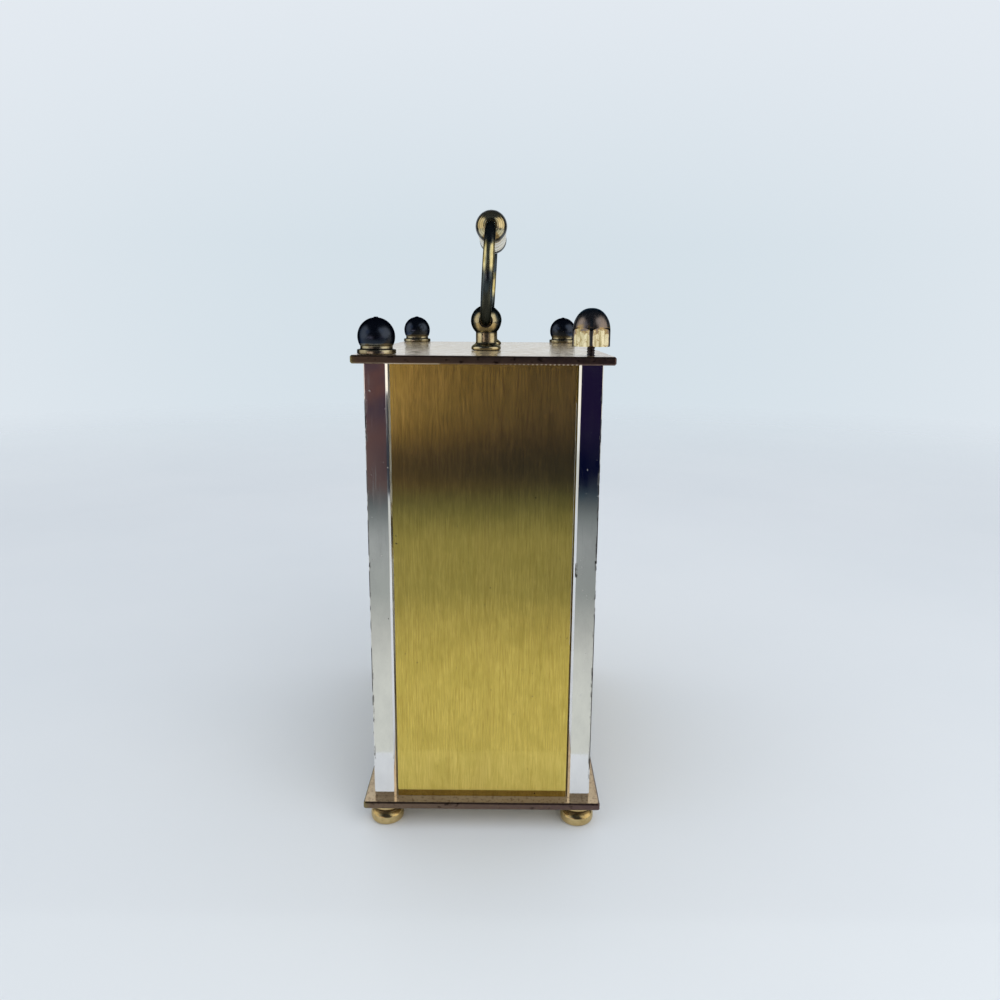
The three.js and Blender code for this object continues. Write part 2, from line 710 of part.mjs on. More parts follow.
function coverSolid() {
  const height = movementInner + movementWall - septumZ;
  const middle = (movementInner + movementWall + septumZ) * half;
  let cover = block(movementSide, movementWall, height, 0, coverInside + movementWall * half, middle);
  const bossFront = coverInside - backBossReach;
  const bossBack = coverInside + movementWall * half;
  for (const place of [intermediatePlace, rotorPlace, v2(0, 0)]) {
    cover = cover.add(depthRod(bossRadius, bossFront, bossBack, coarse, place.x, place.y));
    cover = cover.subtract(bossHole(place.x, place.y, bossFront - overrun, bossFront + pivotLength));
  }
  const knobHole = knobShaftRadius + gap;
  const through = [coverInside - overrun, movementDepth + overrun];
  return cover.subtract(depthRod(knobHole, ...through, coarse, setPlace.x, setPlace.y));
}

// Places of the posts that stand on the tray's floor, clear of every wheel
const boardCentre = v2(-movementInner + boardWidth * half + gap, movementInner - boardHeight * half - gap);
const boardPosts = [
  v2(boardCentre.x - boardWidth * half + bossRadius, boardCentre.y - boardHeight * half + bossRadius),
  v2(boardCentre.x - boardWidth * half + bossRadius, boardCentre.y + boardHeight * half - bossRadius),
];
const bridgeRight = setPlace.x - knobShaftRadius - gap;
const bridgeLeft = thirdPlace.x - bossRadius - gap;
const thirdTipRadius = thirdModule * (thirdTeeth * half + toothAddendumShare);
const bridgePostZ = thirdPlace.y + thirdTipRadius + gap + bossRadius;
const bridgeTop = bridgePostZ + bossRadius;
const bridgeBottom = septumZ + septumThickness + gap;
const bridgePosts = [v2(thirdPlace.x, bridgePostZ), v2(bridgeRight - bossRadius, bridgePostZ)];

function bridgeSolid() {
  const width = bridgeRight - bridgeLeft;
  const height = bridgeTop - bridgeBottom;
  const through = [bridgeY - overrun, bridgeY + bridgeThickness + overrun];
  let bridge = block(width, bridgeThickness, height, (bridgeRight + bridgeLeft) * half,
    bridgeY + bridgeThickness * half, (bridgeTop + bridgeBottom) * half);
  for (const place of [thirdPlace, intermediatePlace, rotorPlace]) {
    bridge = bridge.subtract(bossHole(place.x, place.y, ...through));
  }
  return bridge.subtract(depthRod(secondsArborRadius + gap, ...through, coarse));
}

const secondsArborRadius = pinionTeeth * thirdModule * half + thirdModule;

function buildTrain() {
  const secondsTip = layers[2];
  const coverSeat = coverInside - backBossReach + pivotLength - gap;
  const bridgeSeat = bridgeY + bridgeThickness - gap;

  const secondsWheel = depthRod(pivotRadius, secondsTip, coverSeat, coarse)
    .add(gear(pinionTeeth, thirdModule, secondsPinionPhase, 3))
    .add(depthRod(secondsArborRadius, layers[3] + wheelThickness, layers[4] + wheelThickness, coarse))
    .add(depthRod(arborRadius, layers[4], coverInside - backBossReach - gap, coarse))
    .add(gear(secondsTeeth, secondsModule, 0, 4));
  piece("seconds_wheel", secondsWheel, plasticWheel, {}, movement);

  const thirdWheel = arbor(trayFloor - pivotLength + gap, bridgeSeat)
    .add(gear(pinionTeeth, centreModule, thirdPinionPhase, 2, layerPitch))
    .add(gear(thirdTeeth, thirdModule, thirdPhase, 3));
  piece("third_wheel", thirdWheel, plasticWheel, { x: thirdPlace.x, z: thirdPlace.y }, movement);

  const intermediateWheel = arbor(bridgeY + gap, coverSeat)
    .add(gear(pinionTeeth, secondsModule, intermediatePinionPhase, 4, layerPitch))
    .add(gear(intermediateTeeth, rotorModule, 0, 5));
  piece("intermediate_wheel", intermediateWheel, plasticWheel,
    { x: intermediatePlace.x, z: intermediatePlace.y }, movement);

  const rotor = depthRod(pivotRadius, bridgeY + gap, coverSeat, coarse)
    .add(gear(pinionTeeth, rotorModule, rotorPhase, 5))
    .add(depthRod(magnetRadius, magnetFront, magnetFront + magnetLength, medium));
  piece("rotor", rotor, finish(0x3a3a3d, 0.4, 0.6), { x: rotorPlace.x, z: rotorPlace.y }, movement);

  const arborBack = layers[2] + wheelThickness;
  const centreWheel = gear(centreTeeth, centreModule, centrePhase, 2)
    .subtract(depthRod(minuteArborRadius + gap, layers[2] - overrun, arborBack + overrun, medium));
  piece("centre_wheel", centreWheel, gearBrass, {}, movement);

  const minuteArbor = depthRod(minuteArborRadius, -toDial(minuteArborReach), arborBack, medium)
    .add(gear(cannonTeeth, cannonModule, 0, 1))
    .add(depthRod(minutePinRadius, -toDial(minuteArborReach) - handThickness - handShoulder, 0, medium))
    .subtract(depthRod(pivotRadius + gap, layers[2] - gap, arborBack + overrun, coarse));
  piece("cannon_pinion", minuteArbor, gearBrass, {}, movement);

  const motionBack = layers[1] + wheelThickness;
  const motionWheel = gear(motionTeeth, cannonModule, motionPhase, 1)
    .add(gear(pinionTeeth, hourModule, 0, 0, layerPitch))
    .subtract(depthRod(pivotRadius + gap, layers[0] - overrun, motionBack + overrun, coarse));
  piece("motion_wheel", motionWheel, plasticWheel, { x: motionPlace.x, z: motionPlace.y }, movement);

  const hourBack = layers[0] + wheelThickness;
  const hourWheel = depthRod(hourTubeOuter, -toDial(hourTubeReach), hourBack, medium)
    .add(gear(hourTeeth, hourModule, hourPhase, 0))
    .subtract(depthRod(hourTubeInner, -toDial(hourTubeReach) - overrun, hourBack + overrun, medium));
  piece("hour_wheel", hourWheel, plasticWheel, {}, movement);

  const knobFront = movementDepth + gap;
  const ridged = gearShape(knobRidges, (knobRadius + knobRadius) / knobRidges, 0);
  const knob = depthRod(pivotRadius, trayFloor - pivotLength + gap, layers[1], coarse)
    .add(depthRod(knobShaftRadius, layers[1] + wheelThickness, knobFront + knobHeight, coarse))
    .add(gear(cannonTeeth, cannonModule, setPhase, 1))
    .add(slab(ridged, knobFront, knobHeight));
  piece("set_knob", knob, plasticBlack, { x: setPlace.x, z: setPlace.y }, movement);
}

function toDial(reach) {
  return reach + dialThickness + seat;
}

// A hand: a round hub, a tapering blade with a wider spade before its tip, and a short tail
function handShape(length, width, hubRadius, boreRadius) {
  const hub = new THREE.Shape();
  const w = width * half;
  const tip = handTipWidth * half;
  const side = Math.sqrt(hubRadius ** 2 - tip ** 2);
  hub.moveTo(tip, side);
  hub.lineTo(tip, length * 0.62);
  hub.quadraticCurveTo(w, length * 0.66, w, length * 0.72);
  hub.quadraticCurveTo(w, length * 0.8, tip, length * 0.88);
  hub.lineTo(tip * half, length);
  hub.lineTo(-tip * half, length);
  hub.lineTo(-tip, length * 0.88);
  hub.quadraticCurveTo(-w, length * 0.8, -w, length * 0.72);
  hub.quadraticCurveTo(-w, length * 0.66, -tip, length * 0.62);
  hub.lineTo(-tip, side);
  const from = Math.atan2(side, -tip);
  const tailAngle = Math.atan2(-side, -tip);
  hub.absarc(0, 0, hubRadius, from, tailAngle + Math.PI * 2, false);
  hub.lineTo(-tip, -handTail);
  hub.lineTo(tip, -handTail);
  hub.lineTo(tip, -side);
  hub.absarc(0, 0, hubRadius, Math.atan2(-side, tip), Math.atan2(side, tip), false);
  const bore = new THREE.Path();
  bore.absarc(0, 0, boreRadius, 0, Math.PI * 2, true);
  hub.holes.push(bore);
  return hub;
}

function buildHands() {
  const black = finish(0x141414, 0.35, 0.5);
  const hourBore = hourTubeOuter + threadGap;
  const hourHub = hourBore + hourTubeWall;
  const hourFront = -toDial(hourTubeReach) + handShoulder;
  const hourOutline = handShape(hourHandLength, hourHandWidth, hourHub, hourBore);
  const hourHand = slab(hourOutline, hourFront, handThickness, 6);
  piece("hour_hand", hourHand, black, { turnY: radians(hourHandAngle) }, movement);
  const minuteBore = minutePinRadius + threadGap;
  const minuteHub = minuteArborRadius + hourTubeWall;
  const minuteFront = -toDial(minuteArborReach) - handThickness - seat;
  const minuteOutline = handShape(minuteHandLength, minuteHandWidth, minuteHub, minuteBore);
  const minuteHand = slab(minuteOutline, minuteFront, handThickness, 6);
  piece("minute_hand", minuteHand, black, { turnY: radians(minuteHandAngle) }, movement);
  const boreEnd = -minuteNutHeight * 0.6;
  const cap = turnedAlongDepth([
    v2(0, -minuteNutHeight), v2(minuteNutRadius * 0.6, -minuteNutHeight),
    v2(minuteNutRadius, -minuteNutHeight * half), v2(minuteNutRadius, 0),
    v2(minuteBore, 0), v2(minuteBore, boreEnd), v2(0, boreEnd),
  ], medium);
  piece("minute_hand_nut", cap, gearBrass, { y: minuteFront - seat }, movement);
}

function buildMovement() {
  piece("movement_tray", traySolid(), plasticBlack, {}, movement);
  piece("movement_cover", coverSolid(), plasticBlack, {}, movement);
  piece("train_bridge", bridgeSolid(), finish(0xd9d4c6, 0.5, 0), {}, movement);
  const washerFront = -toDial(0) - seat - washerThickness;
  const washer = slab(ringShape(washerRadius, neckRadius + threadGap), washerFront, washerThickness, 8);
  piece("dial_washer", washer, steel, {}, movement);
  const nutBack = washerFront - seat;
  const nut = hexNut(neckNutFlats, neckNutThickness, neckRadius + threadGap).rotateX(Math.PI * half);
  piece("dial_nut", nut, gearBrass, { y: nutBack }, movement);
}

function ringShape(outer, inner) {
  const ring = new THREE.Shape();
  ring.absarc(0, 0, outer, 0, Math.PI * 2, false);
  const hole = new THREE.Path();
  hole.absarc(0, 0, inner, 0, Math.PI * 2, true);
  ring.holes.push(hole);
  return ring;
}

// Battery, contacts, motor and circuit board
function buildElectrics() {
  const batteryZ = bayBottom + gap + batteryRadius;
  const batteryY = trayFloor + gap + batteryRadius;
  const end = batteryLength * half;
  const r = batteryRadius;
  const shoulder = end - batteryNubLength;
  const battery = new THREE.LatheGeometry([
    v2(0, -end), v2(r - batteryRound, -end), v2(r, -end + batteryRound), v2(r, shoulder - batteryRound),
    v2(r - batteryRound, shoulder), v2(batteryNubRadius, shoulder), v2(batteryNubRadius, end), v2(0, end),
  ], fine).rotateZ(-Math.PI * half);
  piece("battery", battery, finish(0x3b6f9c, 0.35, 0.3), { y: batteryY, z: batteryZ }, movement);

  for (const [name, side] of [["positive", 1], ["negative", -1]]) {
    const plateX = side * (movementInner - seat - contactThickness * half);
    const bumpLength = contactBumpLength + contactThickness * half;
    const bumpX = side * (end + gap + bumpLength * half);
    const bumpTip = contactBumpRadius * half;
    const bump = new THREE.CylinderGeometry(bumpTip, contactBumpRadius, bumpLength, coarse);
    bump.rotateZ(side * Math.PI * half).translate(bumpX, batteryY, batteryZ);
    const strip = block(contactThickness, contactWidth, contactHeight, plateX, batteryY, batteryZ);
    piece(`battery_contact_${name}`, strip.add(solid(bump)), steel, {}, movement);
  }

  const statorY = magnetFront + (magnetLength - statorThickness) * half;
  const statorHole = magnetRadius + gap;
  const barHalf = statorHole + statorMargin * half;
  const coilZ = movementInner - coilRadius - gap;
  const legTop = coilZ + coreWidth * half - rotorPlace.y;
  const legInner = coilLength * half + statorCoilRoom;
  const legOuter = legInner + statorLegWidth;
  const outline = new THREE.Shape([
    v2(-legOuter, -barHalf), v2(legOuter, -barHalf), v2(legOuter, legTop), v2(legInner, legTop),
    v2(legInner, barHalf), v2(-legInner, barHalf), v2(-legInner, legTop), v2(-legOuter, legTop),
  ]);
  const hole = new THREE.Path();
  hole.absarc(0, 0, statorHole, 0, Math.PI * 2, true);
  outline.holes.push(hole);
  const stator = slab(outline, statorY, statorThickness, 8);
  piece("stator", stator, steel, { x: rotorPlace.x, z: rotorPlace.y }, movement);

  const coreY = statorY - seat - coreThickness * half;
  const core = new THREE.BoxGeometry(legOuter + legOuter, coreThickness, coreWidth);
  piece("coil_core", core, steel, { x: rotorPlace.x, y: coreY, z: coilZ }, movement);
  const bore = Math.hypot(coreWidth, coreThickness) * half + threadGap;
  const inner = coilLength * half - bobbinFlangeThickness;
  const bobbin = new THREE.LatheGeometry([
    v2(bore, -coilLength * half), v2(coilRadius, -coilLength * half), v2(coilRadius, -inner),
    v2(bobbinBarrelRadius, -inner), v2(bobbinBarrelRadius, inner), v2(coilRadius, inner),
    v2(coilRadius, coilLength * half), v2(bore, coilLength * half), v2(bore, -coilLength * half),
  ], medium).rotateZ(-Math.PI * half);
  const atCoil = { x: rotorPlace.x, y: coreY, z: coilZ };
  piece("coil_bobbin", bobbin, finish(0xf0efe9, 0.5, 0), atCoil, movement);
  const windingLength = inner - seat;
  const windingInner = bobbinBarrelRadius + seat;
  const windingOuter = coilRadius - threadGap;
  const winding = new THREE.LatheGeometry([
    v2(windingInner, -windingLength), v2(windingOuter, -windingLength), v2(windingOuter, windingLength),
    v2(windingInner, windingLength), v2(windingInner, -windingLength),
  ], medium).rotateZ(-Math.PI * half);
  piece("coil_winding", winding, finish(0xb5622f, 0.35, 0.8), atCoil, movement);

  const boardY = trayFloor + boardLift;
  const chipY = boardThickness + chipHeight;
  const board = block(boardWidth, boardThickness, boardHeight, 0, boardThickness * half, 0)
    .add(block(chipSide, chipY, chipSide, 0, chipY * half, -boardHeight / 6));
  const boardPlace = { x: boardCentre.x, y: boardY, z: boardCentre.y };
  piece("circuit_board", board, finish(0x2f6b3c, 0.5, 0.1), boardPlace, movement);
  const crystalY = boardY + boardThickness + seat + crystalRadius;
  const crystal = turnedUpright(rod(crystalRadius, 0, crystalLength), coarse);
  const crystalPlace = { x: boardCentre.x, y: crystalY, z: boardCentre.y + boardHeight / 6 };
  piece("quartz_crystal", crystal, steel, crystalPlace, movement);
}

buildCase();
buildHandle();
buildFront();
buildMovement();
buildTrain();
buildHands();
buildElectrics();

export default group;
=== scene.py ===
"""The looks of a small brass carriage clock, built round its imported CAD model.

Lengths in tables and calls are millimetres in the row frame, and meshes are made in metres.
X is the clock's width, -Y its front, Z is up, and the origin lies on the table under the clock.
"""

import json
from math import asin, copysign, cos, degrees, fmod, hypot, pi, radians, sin, sqrt

import bmesh
import bpy
from mathutils import Matrix, Vector


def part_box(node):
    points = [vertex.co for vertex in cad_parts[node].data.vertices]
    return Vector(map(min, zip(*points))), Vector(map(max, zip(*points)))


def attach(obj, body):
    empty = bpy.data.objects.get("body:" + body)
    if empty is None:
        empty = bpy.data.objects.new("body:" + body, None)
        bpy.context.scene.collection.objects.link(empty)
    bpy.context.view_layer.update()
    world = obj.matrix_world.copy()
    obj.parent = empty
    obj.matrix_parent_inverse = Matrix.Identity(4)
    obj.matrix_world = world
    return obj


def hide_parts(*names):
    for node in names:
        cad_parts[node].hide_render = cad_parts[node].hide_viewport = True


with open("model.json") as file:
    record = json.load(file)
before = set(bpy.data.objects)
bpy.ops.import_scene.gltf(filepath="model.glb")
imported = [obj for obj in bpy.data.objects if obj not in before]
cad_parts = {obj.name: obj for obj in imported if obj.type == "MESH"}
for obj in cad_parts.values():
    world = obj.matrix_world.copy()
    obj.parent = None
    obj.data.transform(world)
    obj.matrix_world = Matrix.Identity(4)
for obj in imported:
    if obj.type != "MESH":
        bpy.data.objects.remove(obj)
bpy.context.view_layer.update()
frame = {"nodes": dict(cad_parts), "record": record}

MM = 0.001
TURN = 2 * pi
NODES = frame["nodes"]
BODY_OF = {node: body for body, members in frame["record"]["behaviour"]["bodies"].items() for node in members}

# The camera: lens and sensor in millimetres, place, and pitch, yaw and roll in degrees
PHOTO_FOCAL_MM, SENSOR_MM = 29.71, 36.0
CAMERA_PLACE = 173.52, 3.17, 92.98
CAMERA_TURN = 12.572, -0.1, 0.465

# Faces of the CAD model that the looks follow: the plates' and posts' outer faces, and the handle's pin
PLATE_X, PLATE_Y = 37.4, 21.8
POST_X, POST_Y = 35.4, 19.8
PIN_Z = 92.05


def box_mm(node):
    """A CAD node's lowest and highest corner"""
    return [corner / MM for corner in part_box(node)]


def linked(name, data):
    """A new object in the scene"""
    made = bpy.data.objects.new(name, data)
    bpy.context.scene.collection.objects.link(made)
    return made


def make_camera():
    """The photograph's camera: beside the clock's right side, a little above its top"""
    pitch, yaw, roll = (radians(a) for a in CAMERA_TURN)
    forward = Vector((-cos(pitch) * cos(yaw), cos(pitch) * sin(yaw), -sin(pitch)))
    right = forward.cross(Vector((0, 0, 1))).normalized()
    up = right.cross(forward)
    right, up = cos(roll) * right + sin(roll) * up, cos(roll) * up - sin(roll) * right
    data = bpy.data.cameras.new("camera")
    data.lens = PHOTO_FOCAL_MM
    data.sensor_width = SENSOR_MM
    data.sensor_fit = "HORIZONTAL"
    data.clip_start, data.clip_end = 0.005, 20
    camera = linked("camera", data)
    turn = Matrix((right, up, -forward)).transposed().to_4x4()
    camera.matrix_world = Matrix.Translation(Vector(CAMERA_PLACE) * MM) @ turn
    bpy.context.scene.camera = camera


make_camera()


# Node graphs of the materials
class Value:
    """An output in a graph, which takes part in sums"""

    def __init__(self, graph, socket):
        self.graph, self.socket = graph, socket

    def __add__(self, other):
        return self.graph.math("ADD", self, other)

    def __sub__(self, other):
        return self.graph.math("SUBTRACT", self, other)

    def __mul__(self, other):
        return self.graph.math("MULTIPLY", self, other)

    def __abs__(self):
        return self.graph.math("ABSOLUTE", self)

    def most(self, other):
        return self.graph.math("MAXIMUM", self, other)

    def span(self, low, high, to_low=0.0, to_high=1.0):
        """low..high stretched to to_low..to_high, and held at both ends"""
        node = self.graph.node("MapRange", self, low, high, to_low, to_high)
        node.clamp = True
        return Value(self.graph, node.outputs[0])

    def ramp(self, low, high, to_low=0.0, to_high=1.0):
        """span, with low and high in millimetres"""
        return self.span(low * MM, high * MM, to_low, to_high)

    def between(self, low, high, soft):
        """1 from low to high and 0 outside, with soft edges, in millimetres"""
        return self.ramp(low - soft, low) * self.ramp(high + soft, high)

    def blend(self, first, second):
        """The first colour where this is 0, the second where it is 1"""
        node = self.graph.node("Mix", self)
        node.data_type = "RGBA"
        for socket, value in ((node.inputs[6], first), (node.inputs[7], second)):
            self.graph.feed(socket, (*value, 1) if isinstance(value, tuple) else value)
        return Value(self.graph, node.outputs[2])


class Graph:
    """A node tree that grows by short calls"""

    def __init__(self, tree, coordinates):
        self.tree = tree
        self.place = self.output("TexCoord", coordinates)
        self.x, self.y, self.z = self.parts(self.place)

    def feed(self, socket, value):
        if isinstance(value, Value):
            self.tree.links.new(value.socket, socket)
        else:
            socket.default_value = value

    def node(self, kind, *values):
        """A new node, with its first inputs fed"""
        node = self.tree.nodes.new("ShaderNode" + kind)
        for socket, value in zip(node.inputs, values):
            self.feed(socket, value)
        return node

    def output(self, kind, name):
        """A new node's output"""
        return Value(self, self.node(kind).outputs[name])

    def math(self, operation, *values, clamp=False):
        node = self.node("Math", *values)
        node.operation = operation
        node.use_clamp = clamp
        return Value(self, node.outputs[0])

    def parts(self, vector):
        """The x, y and z of a vector"""
        return [Value(self, output) for output in self.node("SeparateXYZ", vector).outputs]

    def length(self, first, second):
        """The length of a flat vector, from its two parts"""
        return self.math("SQRT", self.math("POWER", first, 2) + self.math("POWER", second, 2))

    def noise(self, scale, detail=3.0, rough=0.55, turn=(0, 0, 0)):
        mapping = self.node("Mapping", self.place)
        mapping.inputs["Scale"].default_value = scale if isinstance(scale, tuple) else (scale,) * 3
        mapping.inputs["Rotation"].default_value = [radians(a) for a in turn]
        node = self.node("TexNoise", Value(self, mapping.outputs[0]))
        for name, value in (("Scale", 1.0), ("Detail", detail), ("Roughness", rough)):
            node.inputs[name].default_value = value
        return Value(self, node.outputs[0])

    def toward(self, direction, outer_degrees, inner_degrees):
        """1 within a cone round a direction, 0 outside it, with a soft edge"""
        node = self.node("VectorMath", self.place, Vector(direction).normalized())
        node.operation = "DOT_PRODUCT"
        return Value(self, node.outputs["Value"]).span(cos(radians(outer_degrees)), cos(radians(inner_degrees)))


# The materials by the names that they are made under
LOOKS = {}


class Look(Graph):
    """A material's graph. Places are the row frame's, in metres."""

    def __init__(self, name, **values):
        self.material = LOOKS[name] = bpy.data.materials.new(name)
        self.material.use_nodes = True
        super().__init__(self.material.node_tree, "Object")
        self.shader = self.tree.nodes["Principled BSDF"]
        for socket, value in values.items():
            self.give(socket.replace("_", " "), value)

    def give(self, name, value):
        self.feed(self.shader.inputs[name], value)

    def surface(self, colour, rough, height, distance_mm, strength):
        """Ends a look, with its colour, its roughness and a bump of a height"""
        bump = self.node("Bump")
        for name, value in (("Height", height), ("Distance", distance_mm * MM), ("Strength", strength)):
            self.feed(bump.inputs[name], value)
        for name, value in (("Base Color", colour), ("Roughness", rough), ("Normal", Value(self, bump.outputs[0]))):
            self.give(name, value)

    def show(self, node):
        """Puts a shader in the place of the material's own"""
        self.feed(self.tree.nodes["Material Output"].inputs["Surface"], Value(self, node.outputs[0]))

    def let_through(self, share):
        """Lets a share of the light straight through"""
        self.show(self.node("MixShader", share, Value(self, self.shader.outputs[0]), self.output("BsdfTransparent", 0)))

    def groove(self):
        """How deep in a groove a place lies, as its mesh says; on some pieces it carries painted shade instead"""
        node = self.node("Attribute")
        node.attribute_name = "groove"
        return Value(self, node.outputs["Fac"])


def brushed_brass(name, stain=1.0):
    """Brass with a fine vertical grain, faint blotches and small duller specks"""
    look = Look(name, Metallic=1.0, Anisotropic=1.0, Coat_Weight=0.4, Coat_Roughness=0.5)
    hair = look.noise((7000, 7000, 340), 2, 0.7)
    grain = look.noise((3200, 3200, 110), 3, 0.65)
    streaks = look.noise((520, 520, 30), 4, 0.6)
    cloud = look.noise((330, 330, 240), 3, 0.6)
    lines = hair * 0.6 + grain * 0.4
    colour = lines.span(0.34, 0.66).blend((0.6, 0.435, 0.08), (0.89, 0.68, 0.165))
    colour = streaks.span(0.5, 0.74, 0, 0.16 * stain).blend(colour, (0.42, 0.27, 0.06))
    colour = cloud.span(0.42, 0.66, 0, 0.3 * stain).blend(colour, (0.5, 0.385, 0.06))
    dark = look.noise(1500, 2, 0.5).span(0.745, 0.78)
    dull = look.noise(3600, 2, 0.5).span(0.6, 0.72)
    look.surface(
        dark.blend(colour, (0.04, 0.03, 0.015)),
        lines.span(0.3, 0.7, 0.155, 0.2) + dull * 0.05,
        lines, 0.0035, 0.45)


def bright_post():
    """Mirror plating with slight waves, scratches and nicks, flaking along the outer corners"""
    look = Look("bright_post", Metallic=1.0)
    across, out, height = abs(look.y), abs(look.x), look.z
    waves = look.noise((70, 70, 22), 1, 0.4)
    scratches = look.noise((2600, 2600, 90), 2, 0.7, (32, 0, 0)).span(0.6, 0.7)
    haze = look.noise((300, 300, 160), 4, 0.6)
    fine = look.noise((1300, 1300, 420), 4, 0.75)
    corner = across.ramp(19.5, 19.75) * out.ramp(35.0, 35.35)
    rim = across.ramp(19.7, POST_Y) * out.ramp(35.3, POST_X)
    wear = look.y.ramp(-5, 5, 0.05, 0) + look.x.ramp(0, 1, 0.05, 0)
    broken = (fine - wear).span(0.52, 0.55)
    long_line = (look.noise((200, 200, 75), 3, 0.7) - wear).span(0.46, 0.48)
    flakes = (corner * broken).most(rim * long_line) * height.between(12, 78, 4)
    inner_chip = height.between(48.6, 50.8, 0.3) * across.between(16.2, 16.5, 0.1)
    outer_chip = height.between(51.0, 51.4, 0.1) * across.ramp(19.45, 19.6)
    chipped = (inner_chip * fine.span(0.4, 0.46)).most(outer_chip)
    rear_right = look.y.ramp(0, 1) * look.x.ramp(34.9, 35.1)
    chips = look.noise((1100, 1100, 700), 3, 0.6).span(0.735, 0.75)
    worn = flakes.most(chips).most(chipped * rear_right)
    nicks = look.noise(1500, 2, 0.5).span(0.735, 0.76)
    colour = haze.span(0.42, 0.68, 0, 0.3).blend((0.9, 0.885, 0.87), (0.66, 0.65, 0.66))
    rough = haze.span(0.4, 0.7, 0.045, 0.11) + scratches * 0.07
    look.surface(
        worn.blend(colour, (0.03, 0.025, 0.025)),
        rough + worn.most(nicks) * 0.5,
        waves * 4 + scratches * -0.05, 0.02, 0.35)


def plate_brass():
    """Polished brass, speckled near its edges, with a dark brown patina on the edges themselves and a painted highlight
    along the foot of one edge
    """
    look = Look("plate_brass", Metallic=1.0)
    normal = look.parts(look.output("NewGeometry", "Normal"))
    side = abs(normal[2]).span(0.93, 0.75)
    near = abs(look.x).ramp(32, PLATE_X).most(abs(look.y).ramp(17.5, PLATE_Y))
    specks = look.noise(1700, 4, 0.7)
    blotch = look.noise(160, 4, 0.6)
    freckles = (specks + near * 0.1).span(0.61, 0.7)
    top = blotch.span(0.35, 0.7).blend((0.80, 0.66, 0.43), (0.68, 0.52, 0.31))
    top = (near * 0.55).blend(top, (0.40, 0.25, 0.14))
    top = (freckles * 0.6).blend(top, (0.16, 0.09, 0.05))
    patina = look.y.ramp(-PLATE_Y, PLATE_Y).blend((0.2, 0.14, 0.095), (0.13, 0.082, 0.078))
    patina = look.y.ramp(-20.6, -PLATE_Y).blend(patina, (0.26, 0.22, 0.09))
    patina = look.noise(1500, 4, 0.7).span(0.5, 0.68, 0, 0.75).blend(patina, (0.2, 0.135, 0.09))
    patina = look.noise((700, 700, 1100), 3).span(0.6, 0.7, 0, 0.8).blend(patina, (0.02, 0.012, 0.01))
    # A painted highlight, not wear: a bright line and a row of bright dots along the foot of the front-right edge,
    # where it catches the light
    line = look.y.between(-15.9, -7.4, 0.5) * 0.8
    beat = look.math("SINE", look.y * (TURN / (0.72 * MM)))
    glint_dots = look.y.ramp(2.0, 8.0) * look.y.ramp(16.2, 15.9) * beat.span(0.1, 0.6)
    worn = line.most(glint_dots) * look.z.between(85.1, 85.28, 0.06)
    patina = (worn * look.x.ramp(37.0, 37.1)).blend(patina, (0.9, 0.8, 0.7))
    look.give("Metallic", side.span(0, 1, 0.62, 1.0))
    look.surface(
        side.blend(top, patina),
        look.noise(700, 4, 0.7).span(0.35, 0.7, 0.1, 0.26) + side * 0.22,
        specks + blotch * 2, 0.008, 0.35)


def turned_brass(name, bright, deep, patina, polish, dulling=0.2, rim=(1.0, 1.0, 1.0), dark_at=None):
    """Turned brass: patina in the grooves and in patches, and a darker rim, painted shade given by the rim's specular
    tint. dark_at may add painted shade to the patina.
    """
    look = Look(name, Metallic=1.0, Specular_Tint=(*rim, 1))
    groove = look.groove()
    if dark_at:
        # dark_at adds painted shade, and on the posts patina as well, to the groove's darkening
        groove = groove.most(dark_at(look))
    patches = look.noise(420, 4, 0.65)
    specks = look.noise(2400, 3, 0.6)
    colour = patches.span(0.35, 0.68).blend(bright, deep)
    uneven = groove * patches.span(0.3, 0.55, 0.97, 1.15)
    dark = look.math("ADD", uneven, specks.span(0.62, 0.74, 0, 0.5), clamp=True)
    rough = look.noise(1500, 4, 0.7).span(0.35, 0.7, polish, polish + 0.14)
    look.surface(
        dark.blend(colour, patina),
        rough + groove * dulling,
        patches + specks * 0.5, 0.012, 0.5)


def arm_ends(look):
    """Painted shade near both ends of an arm, which leaves its middle bright, lower down on the left arm"""
    uneven = look.noise(500, 3, 0.6).span(0.3, 0.7, -0.8 * MM, 0.8 * MM)
    height = look.z + uneven + look.x.ramp(0, 1, 3 * MM, 0)
    return height.ramp(105.0, 106.2).most(height.ramp(101.8, 99.8))


def away_from_pin(look):
    """Patina and painted shade on a handle post's ball, but for where the arm rubs it round its pin"""
    up = look.z - PIN_Z * MM
    uneven = look.noise(600, 3, 0.6).span(0.3, 0.7, -0.4 * MM, 0.4 * MM)
    away = look.length(look.y, up) + uneven
    return away.ramp(1.7, 2.4, 0, 0.92) * up.ramp(-2.5, -1.9)


def cap_nut_brass():
    """A dark dome on scratched bright flats, brown where they meet; the black along the corners and the dark-tinted rim
    are painted shade
    """
    look = Look("cap_nut_brass", Metallic=1.0, Specular_Tint=(0.2, 0.25, 0.28, 1))
    groove = look.groove()
    scratches = look.noise((2600, 2600, 300), 3, 0.7, (20, 0, 0))
    patches = look.noise(850, 4, 0.75).span(0.4, 0.62, -0.2, 0.5)
    edge = groove + patches * groove.span(0.5, 0.9, 1, 0.15)
    colour = scratches.span(0.42, 0.66).blend((0.82, 0.78, 0.58), (0.5, 0.42, 0.2))
    for low, high, next_colour in ((0.34, 0.5, (0.40, 0.29, 0.14)), (0.62, 0.8, (0.24, 0.2, 0.19)),
                                   (0.95, 1.1, (0.10, 0.115, 0.135)), (1.25, 1.45, (0.025, 0.025, 0.03))):
        colour = edge.span(low, high).blend(colour, next_colour)
    look.surface(colour, scratches.span(0.35, 0.65, 0.16, 0.36), scratches, 0.02, 0.6)


